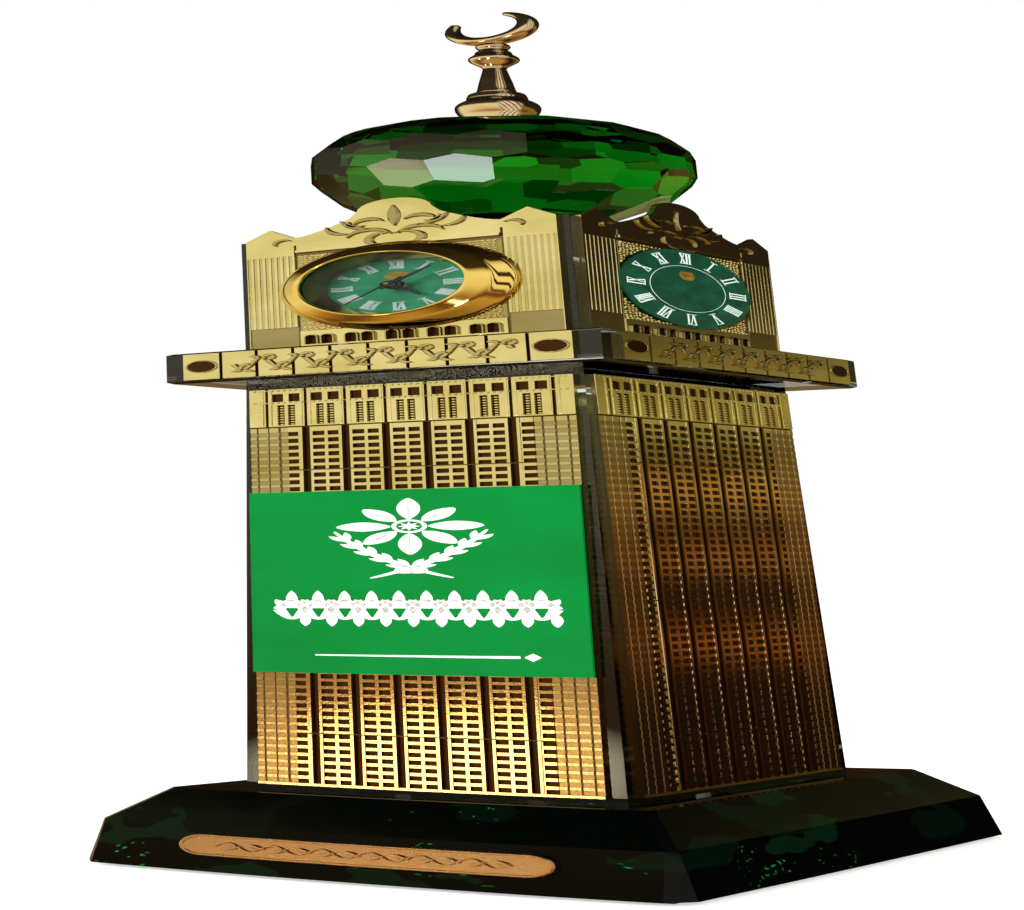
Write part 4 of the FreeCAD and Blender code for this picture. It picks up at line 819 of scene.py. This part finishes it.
flutes = np.ravel(12.55 + 0.72 * np.arange(8))
flutes = np.concatenate([-flutes[::-1], flutes])
arcade = np.ravel((4.7 * (np.arange(5) - 2.0))[:, None] + [-0.95, 0.95])
inner = SCROLL_FIELD
across = lines([-CLOCK_HALF, CLOCK_HALF, -17.75, 17.75], edges_of(flutes, 0.17), edges_of(arcade, 0.6),
               edges_of([-inner, inner], 0.12), np.linspace(-11.6, 11.6, 48))
rows_low = lines([0, 1.0, 5.6, 7.0, 29.8, 30.6, 31.4, 33.0], edges_of(2.7, 1.3), edges_of(3.4, 0.2),
                 np.linspace(8, 29, 36))
crown_rows = np.linspace(33.0, CLOCK_TOP, 7)[1:]
upward = np.concatenate([rows_low, crown_rows])
depth = np.zeros((len(across) - 1, len(upward) - 1))
pilaster = near(across, [-14.9, 14.9], 2.9)
middle_field = near(across, [0], inner)
sink(middle_field, near(upward, [17.9], 11.9), 0.12)
sink(near(across, flutes, 0.19), near(upward, [18.4], 11.4), 0.06)
sink(pilaster, near(upward, [4.0], 3.0), 0.14)
sink(near(across, arcade, 0.62), near(upward, [2.7], 1.32), 0.34)
sink(middle_field, near(upward, [31.0], 0.42), -0.25)
sink(middle_field, near(upward, [30.2], 0.42), 0.2)
sink(near(across, [-inner, inner], 0.14), near(upward, [16.5], 16.5), 0.2)


def crowned(a, b):
    """Stretches the rows above 33 mm so that the last follows the crown."""
    share = np.clip((b - 33.0) / (CLOCK_TOP - 33.0), 0, 1)
    return a, np.where(b > 33.0, 33.0 + share * (crown(a) - 33.0), b)


def around_bore(a, b):
    """The crown, and grid points inside the bore moved straight outwards on to its edge."""
    a, b = crowned(a, b)
    far = np.hypot(a, b - CLOCK_UP)
    grow = np.where(far < BORE, BORE / np.maximum(far, 0.1), 1.0)
    hidden = far < BORE - 1.6
    return np.where(hidden, a, a * grow), np.where(hidden, b, CLOCK_UP + (b - CLOCK_UP) * grow)


def in_plate(quads):
    """Quads not wholly deep inside the bore."""
    return (np.hypot(quads[..., 0], quads[..., 1] - CLOCK_UP) > BORE - 0.01).all(1)


rng = np.random.default_rng(5)
stipple = np.stack(np.meshgrid(np.arange(-11.3, 11.4, 0.62), np.arange(6.4, 29.4, 0.62), indexing="ij"), -1)
stipple = stipple.reshape(-1, 2) + rng.uniform(-0.16, 0.16, (stipple.size // 2, 2))
stipple = stipple[np.hypot(stipple[:, 0], stipple[:, 1] - CLOCK_UP) > 12.5]
arcade_dots = np.stack([np.arange(-11.2, 11.3, 0.7), np.full(33, 5.9)], -1)
cap_dots = np.stack([np.arange(-11.2, 11.3, 0.7), np.full(33, 29.3)], -1)
stipple_mesh = beads(stipple, 0.24, PLATE_THICK - 0.2, PLATE_THICK + 0.06)
dots_mesh = beads(np.vstack([arcade_dots, cap_dots]), 0.26, PLATE_THICK - 0.2, PLATE_THICK + 0.14)
ARCH, ARCH_SPRING, ARCH_SILL = 0.72, 3.5, 1.3
arches, arch_widths = [], []
bend = np.linspace(0, np.pi, 13)
for x in arcade:
    head_arc = np.stack([x + ARCH * np.cos(bend), ARCH_SPRING + ARCH * np.sin(bend)], -1)
    arches.append(np.vstack([[x + ARCH, ARCH_SILL], head_arc, [x - ARCH, ARCH_SILL]]))
    arch_widths.append(0.28)
# pediment: a pair of opposed scrolls with leaves round an upright bud
for hand in (-1, 1):
    for foot, heading, reach, wide, turn in (
        ((0, 34.2), 90 - hand * 62, 9.0, 1.15, -hand * 260),
        ((hand * 0.4, 34.0), 90 - hand * 20, 7.0, 1.2, -hand * 150),
        ((hand * 2.6, 36.0), 90 - hand * 75, 5.2, 1.1, hand * 60),
        ((hand * 5.0, 35.2), 90 - hand * 100, 4.6, 0.95, hand * 110),
        ((hand * 1.2, 38.2), 90 - hand * 30, 4.6, 1.2, -hand * 140),
        ((hand * 3.4, 37.4), 90 - hand * 120, 3.2, 0.9, hand * 150),
        ((hand * 14.1, 33.2), 90 - hand * 30, 3.4, 0.85, hand * 170),
    ):
        path, width = leaf(foot, heading, reach, wide, turn, 25)
        arches.append(path)
        arch_widths.append(width)
path, width = leaf((0, 36.5), 90, 6.6, 1.5)
arches.append(path)
arch_widths.append(width)
relief_mesh = strokes(arches, arch_widths, PLATE_THICK - 0.2, PLATE_THICK + 0.3)
extra_points, extra_faces = joined(stipple_mesh, dots_mesh, relief_mesh)
for side, turn in SIDES:
    opened = side == "front"
    slab_points, slab_faces, slab_recess = etched_slab(
        across, upward, depth, PLATE_THICK, warp=around_bore if opened else crowned,
        keep=in_plate if opened else None)
    points = np.vstack([slab_points, extra_points])
    recess = np.concatenate([slab_recess, np.zeros(len(stipple_mesh[0]) + len(dots_mesh[0])),
                             np.full(len(relief_mesh[0]), 0.4)])
    placed = turned_about_z(stood(points + [0, CLOCK_PLATE_FOOT, 0], BLOCK_HALF, BLOCK_FOOT), turn)
    new_piece("clock_plate_etched_" + side, placed, [slab_faces, extra_faces + len(slab_points)], plate_gold,
              "tower", ["clock_plate_" + side], recess=recess)

# ---------------------------------------------------------------- printed dials
# Thin metal discs, printed green with white numerals, glued to the right, back and left clock plates.
DIAL_HALF = BLOCK_HALF + PLATE_THICK
DIAL_UP = 168.2
NUMERALS = ("XII", "I", "II", "III", "IIII", "V", "VI", "VII", "VIII", "IX", "X", "XI")
STROKE_SLANTS = {"I": ((0.0, 0.0),), "V": ((-0.5, 0.0), (0.5, 0.0)), "X": ((-0.5, 0.5), (0.5, -0.5))}
STROKE_ROOM = {"I": 0.42, "V": 0.78, "X": 0.8}


def numeral_ring(radius, height, width, bar):
    """Paths of twelve upright Roman numerals with their heads outwards: each letter is one or two straight
    strokes from its head to its foot, side by side, closed above and below by thin serif lines."""
    paths, widths = [], []
    for number, word in enumerate(NUMERALS):
        angle = np.radians(90 - 30 * number)
        out = np.array([np.cos(angle), np.sin(angle)])
        side = np.array([out[1], -out[0]])
        room = sum(STROKE_ROOM[letter] for letter in word)
        scale = min(width, 1.0 * width * (0.45 + 0.2 * len(word))) / room
        cursor = -room / 2
        for letter in word:
            middle = cursor + STROKE_ROOM[letter] / 2
            cursor += STROKE_ROOM[letter]
            for order, (head_x, foot_x) in enumerate(STROKE_SLANTS[letter]):
                top = (middle + head_x * 0.6) * scale * side + (radius + height / 2) * out
                low = (middle + foot_x * 0.6) * scale * side + (radius - height / 2) * out
                paths.append(np.array([low, top]))
                widths.append(bar * (1.0 if order == 0 else 0.55))
        for end in (-0.5, 0.5):
            serif = room / 2 * scale * side
            paths.append(np.array([-serif, serif]) + (radius + end * height) * out)
            widths.append(bar * 0.45)
    return paths, widths


printed_green, tree = new_finish("dial_printed_green_gloss")
where = add(tree, "TexCoord").outputs["Object"]
mottle = add(tree, "TexNoise", {"Vector": where, "Scale": 260.0, "Detail": 5.0, "Roughness": 0.7})
tone = add(tree, "ValToRGB", {"Fac": mottle.outputs["Fac"]}, [
    (0.3, "#043424"), (0.5, "#08442f"), (0.75, "#105a40"),
])
shader = add(tree, "BsdfPrincipled", {"Base Color": tone.outputs[0], "Roughness": 0.28, "IOR": 1.5})
add(tree, "OutputMaterial", {"Surface": shader.outputs[0]})
dress(["printed_dial_right", "printed_dial_back", "printed_dial_left"], printed_green)
dial_white = shaded("dial_ink_white", "#e4f2ee", "#c8e0dc", 0.4, roughness=0.5, bump=0.1)
dial_gold = shaded("dial_ink_gold", "#c8a23c", "#8a6a20", 0.5, metallic=0.6, roughness=0.4, bump=0.1)

paths, widths = numeral_ring(9.7, 3.2, 2.2, 0.34)
numerals = strokes(paths, widths, 0.28, 0.34)
tracks = strokes([ring_path(7.2)], [0.1], 0.28, 0.33, closed=True)
white_points, white_faces = joined(numerals, tracks)
oval = filled(ring_path(1.5, 40, (0, 4.2), 0.8), 0.28, 0.33)
wreath_paths, wreath_widths = [], []
for hand in (-1, 1):
    path, width = leaf((0, 2.7), 90 - hand * 70, 3.6, 0.4, hand * 120)
    wreath_paths.append(path)
    wreath_widths.append(width)
wreath = strokes(wreath_paths, wreath_widths, 0.28, 0.34)
gold_points, gold_faces = gathered(oval, (wreath[0], [wreath[1]]))
for side, turn in SIDES[1:]:
    for name, points, faces, ink in (("numerals", white_points, [white_faces], dial_white),
                                     ("wreath", gold_points, gold_faces, dial_gold)):
        placed = turned_about_z(stood(points, DIAL_HALF, DIAL_UP), turn)
        new_piece(f"printed_{name}_{side}", placed, faces, ink, "tower")

# ---------------------------------------------------------------- ball
# Ground and polished ball of emerald green crystal with rows of flat facets, cemented to a clear collar.
emerald = polished("emerald_crystal_cut_polished", "#067a10", "#0c9c16", 70.0, 2.0, (0.0, 0.02),
                   {"IOR": 1.55, "Transmission Weight": 1.0})
dress(["crystal_ball"], emerald)

# ---------------------------------------------------------------- finial and crescent
# Turned brass base and spire, screwed together, and a cast brass crescent pressed on, all polished and pale
# gold plated.
polished_gold = polished("brass_pale_gold_plated_polished", "#e0c496", "#f0dcb4", 300.0, 4.0, (0.07, 0.2),
                         {"Metallic": 1.0}, dents=(0.05, 0.0003))


def smooth_profile(corners, passes=2):
    """Profile points with every corner rounded: passes of corner cutting at a quarter and three quarters
    of each side; the first and last points stay."""
    profile = np.asarray(corners, float)
    for _ in range(passes):
        low = profile[:-1] * 0.75 + profile[1:] * 0.25
        high = profile[:-1] * 0.25 + profile[1:] * 0.75
        profile = np.vstack([profile[:1], np.stack([low, high], 1).reshape(-1, 2)[1:-1], profile[-1:]])
    return profile


def turned(profile, around=96):
    """Surface of a lathe: each profile point (radius, height) carried once round the upright axis."""
    angle = np.linspace(0, 2 * np.pi, around, endpoint=False)
    radius, height = np.asarray(profile, float).T
    rings = np.stack([radius[:, None] * np.cos(angle), radius[:, None] * np.sin(angle),
                      np.broadcast_to(height[:, None], (len(radius), around))], -1)
    return rings


BALL_TOP_UP = 227.5
base_profile = smooth_profile([
    (3.6, 0), (3.65, 1.6), (3.85, 3.0), (4.2, 4.0), (4.45, 5.4), (4.4, 6.6), (3.95, 7.6), (3.4, 8.3),
    (3.15, 8.8), (3.2, 9.5), (3.05, 10.2), (2.95, 10.8), (2.3, 11.1)])
points, faces = lofted(turned(base_profile) + [0, 0, BALL_TOP_UP])
new_piece("finial_base_turned", points, [f[:, ::-1] for f in faces], polished_gold, "tower",
          ["finial_base"], smooth=True)
SPIRE_UP, SPIRE_HEIGHT = BALL_TOP_UP + 11.1, 18.0
spire_profile = smooth_profile([
    (2.1, 0), (2.15, 0.4), (2.0, 1.2), (1.9, 2.4), (1.8, 3.6), (1.55, 5.8), (1.3, 8.2), (1.2, 8.9),
    (1.5, 9.8), (2.3, 11.0), (2.7, 11.8), (2.65, 12.6), (2.2, 13.4), (1.95, 13.9), (1.95, 14.6), (1.55, 15.2),
    (1.5, 15.7), (1.85, 16.4), (1.8, 17.1), (1.5, 17.6), (0.8, 18.0)])
points, faces = lofted(turned(spire_profile) + [0, 0, SPIRE_UP])
new_piece("finial_spire_turned", points, [f[:, ::-1] for f in faces], polished_gold, "tower",
          ["finial_spire"], smooth=True)

HORN_RADIUS, HORN_THICK, HORN_THIN, HORN_SUNK = 4.25, 1.4, 0.55, 0.35
share = np.linspace(-1, 1, 73)
angle = np.radians(288 + share * 144)
thick = HORN_THIN + (HORN_THICK - HORN_THIN) * (1 - share**2)
round_off = np.sqrt(np.clip(1 - np.clip((np.abs(share) - 0.965) / 0.035, 0, 1) ** 2, 0.02, 1))
outward = np.stack([np.cos(angle), 0 * angle, np.sin(angle)], -1)
turn = np.linspace(0, 2 * np.pi, 32, endpoint=False)
sideways = np.array([0, 1.0, 0])
section = np.cos(turn)[None, :, None] * outward[:, None, :] + np.sin(turn)[None, :, None] * sideways
middles = (outward * (HORN_RADIUS - thick + HORN_THICK)[:, None])[:, None, :]
rings = middles + section * (thick * round_off)[:, None, None]
rings += [0, 0, SPIRE_UP + SPIRE_HEIGHT + HORN_RADIUS + HORN_THICK - HORN_SUNK]
points, faces = lofted(rings)
new_piece("crescent_cast", points, [f[:, ::-1] for f in faces], polished_gold, "tower",
          ["crescent"], smooth=True)
dress(["finial_stud"], shaded("steel_stud_threaded", "#9a9a98", "#6c6c6a", 0.3, 1.0, 0.35, stretch=(1, 1, 6)))

# ---------------------------------------------------------------- clock insert, front
# Fit-up clock pushed into the bore: a polished gold-toned bezel, an acrylic lens snapped in behind its lip,
# and a printed dial. The hands are thin black steel.
bezel_gold = polished("bezel_brass_bright_gold_polished", "#eecb62", "#f8dc86", 240.0, 3.0, (0.03, 0.1),
                      {"Metallic": 1.0})


def facing_front(points):
    """Lathe points turned so that their axis runs forwards from the middle of the clock at the plate."""
    x, y, z = points.T
    return np.stack([x, -DIAL_HALF - z, DIAL_UP + y], -1)


def turned_band(profile, around=128):
    """Closed band: a closed profile (radius, height) carried once round the axis."""
    rings = turned(np.vstack([profile, profile[:1]]), around)
    points = rings[:-1].reshape(-1, 3)
    count = len(profile)
    number = np.arange(count * around).reshape(count, around)
    number = np.vstack([number, number[:1]])
    number = np.hstack([number, number[:, :1]])
    quads = np.stack([number[:-1, :-1], number[:-1, 1:], number[1:, 1:], number[1:, :-1]], -1)
    return points, quads.reshape(-1, 4)


bezel_profile = np.vstack([
    [(10.9, -2.9), (10.9, 0.02), (13.45, 0.02), (13.6, 0.12), (13.62, 0.4), (13.5, 0.62)],
    np.linspace((13.4, 0.75), (12.1, 2.05), 6), np.linspace((11.8, 2.28), (9.95, 3.12), 6),
    [(9.7, 3.2), (9.5, 3.15), (9.42, 3.02), (9.42, 2.8), (10.02, 2.75), (10.02, -2.9)]])
points, faces = turned_band(bezel_profile, 160)
new_piece("insert_bezel_spun", facing_front(points), [faces], bezel_gold, "clock_insert",
          ["insert_bezel"], smooth=True)
inner_wall = gold("insert_ring_brass_satin", "#f4dc90", "#dcbc5c", "#d8b060", 0.12, 0.3, 0.08)
dress(["insert_ring"], inner_wall)

acrylic = polished("acrylic_lens_clear", "#f4f8f4", "#ffffff", 900.0, 4.0, (0.0, 0.03),
                   {"IOR": 1.2, "Transmission Weight": 1.0, "Specular IOR Level": 0.2})
dress(["insert_lens"], acrylic)
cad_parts["insert_lens"].visible_shadow = False

clock_green = polished("clock_dial_green_satin", "#1c8c5c", "#2ca676", 500.0, 4.0, None,
                       {"Roughness": 0.45})
dress(["insert_dial"], clock_green)

FACE_BACK = 0.1  # the dial's face behind the plate's
paths, widths = numeral_ring(6.45, 2.4, 1.75, 0.44)
numerals = strokes(paths, widths, 0.0, 0.04)
points, faces = numerals
new_piece("clock_numerals", stood(points, DIAL_HALF - FACE_BACK, DIAL_UP), [faces], dial_white,
          "clock_insert")
points, faces = filled(ring_path(1.5, 40, (0, 3.0), 0.72), 0.0, 0.03)
new_piece("clock_oval", stood(points, DIAL_HALF - FACE_BACK, DIAL_UP), faces, dial_gold,
          "clock_insert")
dress(["hour_hand", "minute_hand", "second_hand"],
      shaded("hand_steel_black_lacquered", "#1c1c1e", "#0a0a0c", 0.3, roughness=0.35))

# ---------------------------------------------------------------- clock insert, case and movement
# Moulded case with a soft rubber ring that grips the bore, and a small quartz movement: steel and brass
# train, white driving wheels, a coil on a steel stator, a board and a button cell.
dress(["insert_case", "case_cover"],
      shaded("abs_black_moulded_fine_spark", "#26282a", "#17181a", 0.25, roughness=0.5))
dress(["grip_ring"], shaded("silicone_rubber_black", "#202020", "#141414", 0.5, roughness=0.75, bump=0.3))
dress(["battery", "battery_contact", "stator", "train_bridge"],
      shaded("nickel_steel_brushed", "#c4c4c0", "#96968f", 0.15, 1.0, 0.32, stretch=(1, 1, 8)))
dress(["third_wheel", "fifth_wheel", "second_wheel", "centre_wheel"],
      shaded("wheel_brass_stamped", "#d8b45c", "#b48c3c", 0.2, 1.0, 0.3))
dress(["cannon_pinion", "hour_wheel", "motion_wheel", "setting_knob"],
      shaded("acetal_white_moulded", "#ecebe4", "#d8d6cc", 0.4, roughness=0.45))
dress(["rotor"], shaded("rotor_magnet_sintered_grey", "#6a6a70", "#484850", 0.15, 0.6, 0.5))
dress(["coil"], shaded("enamelled_copper_winding", "#c8703a", "#8c4420", 0.12, 1.0, 0.35, stretch=(8, 1, 1)))
dress(["circuit_board"], shaded("glass_epoxy_board_green", "#1c6a3c", "#0e4a28", 0.3, roughness=0.4))
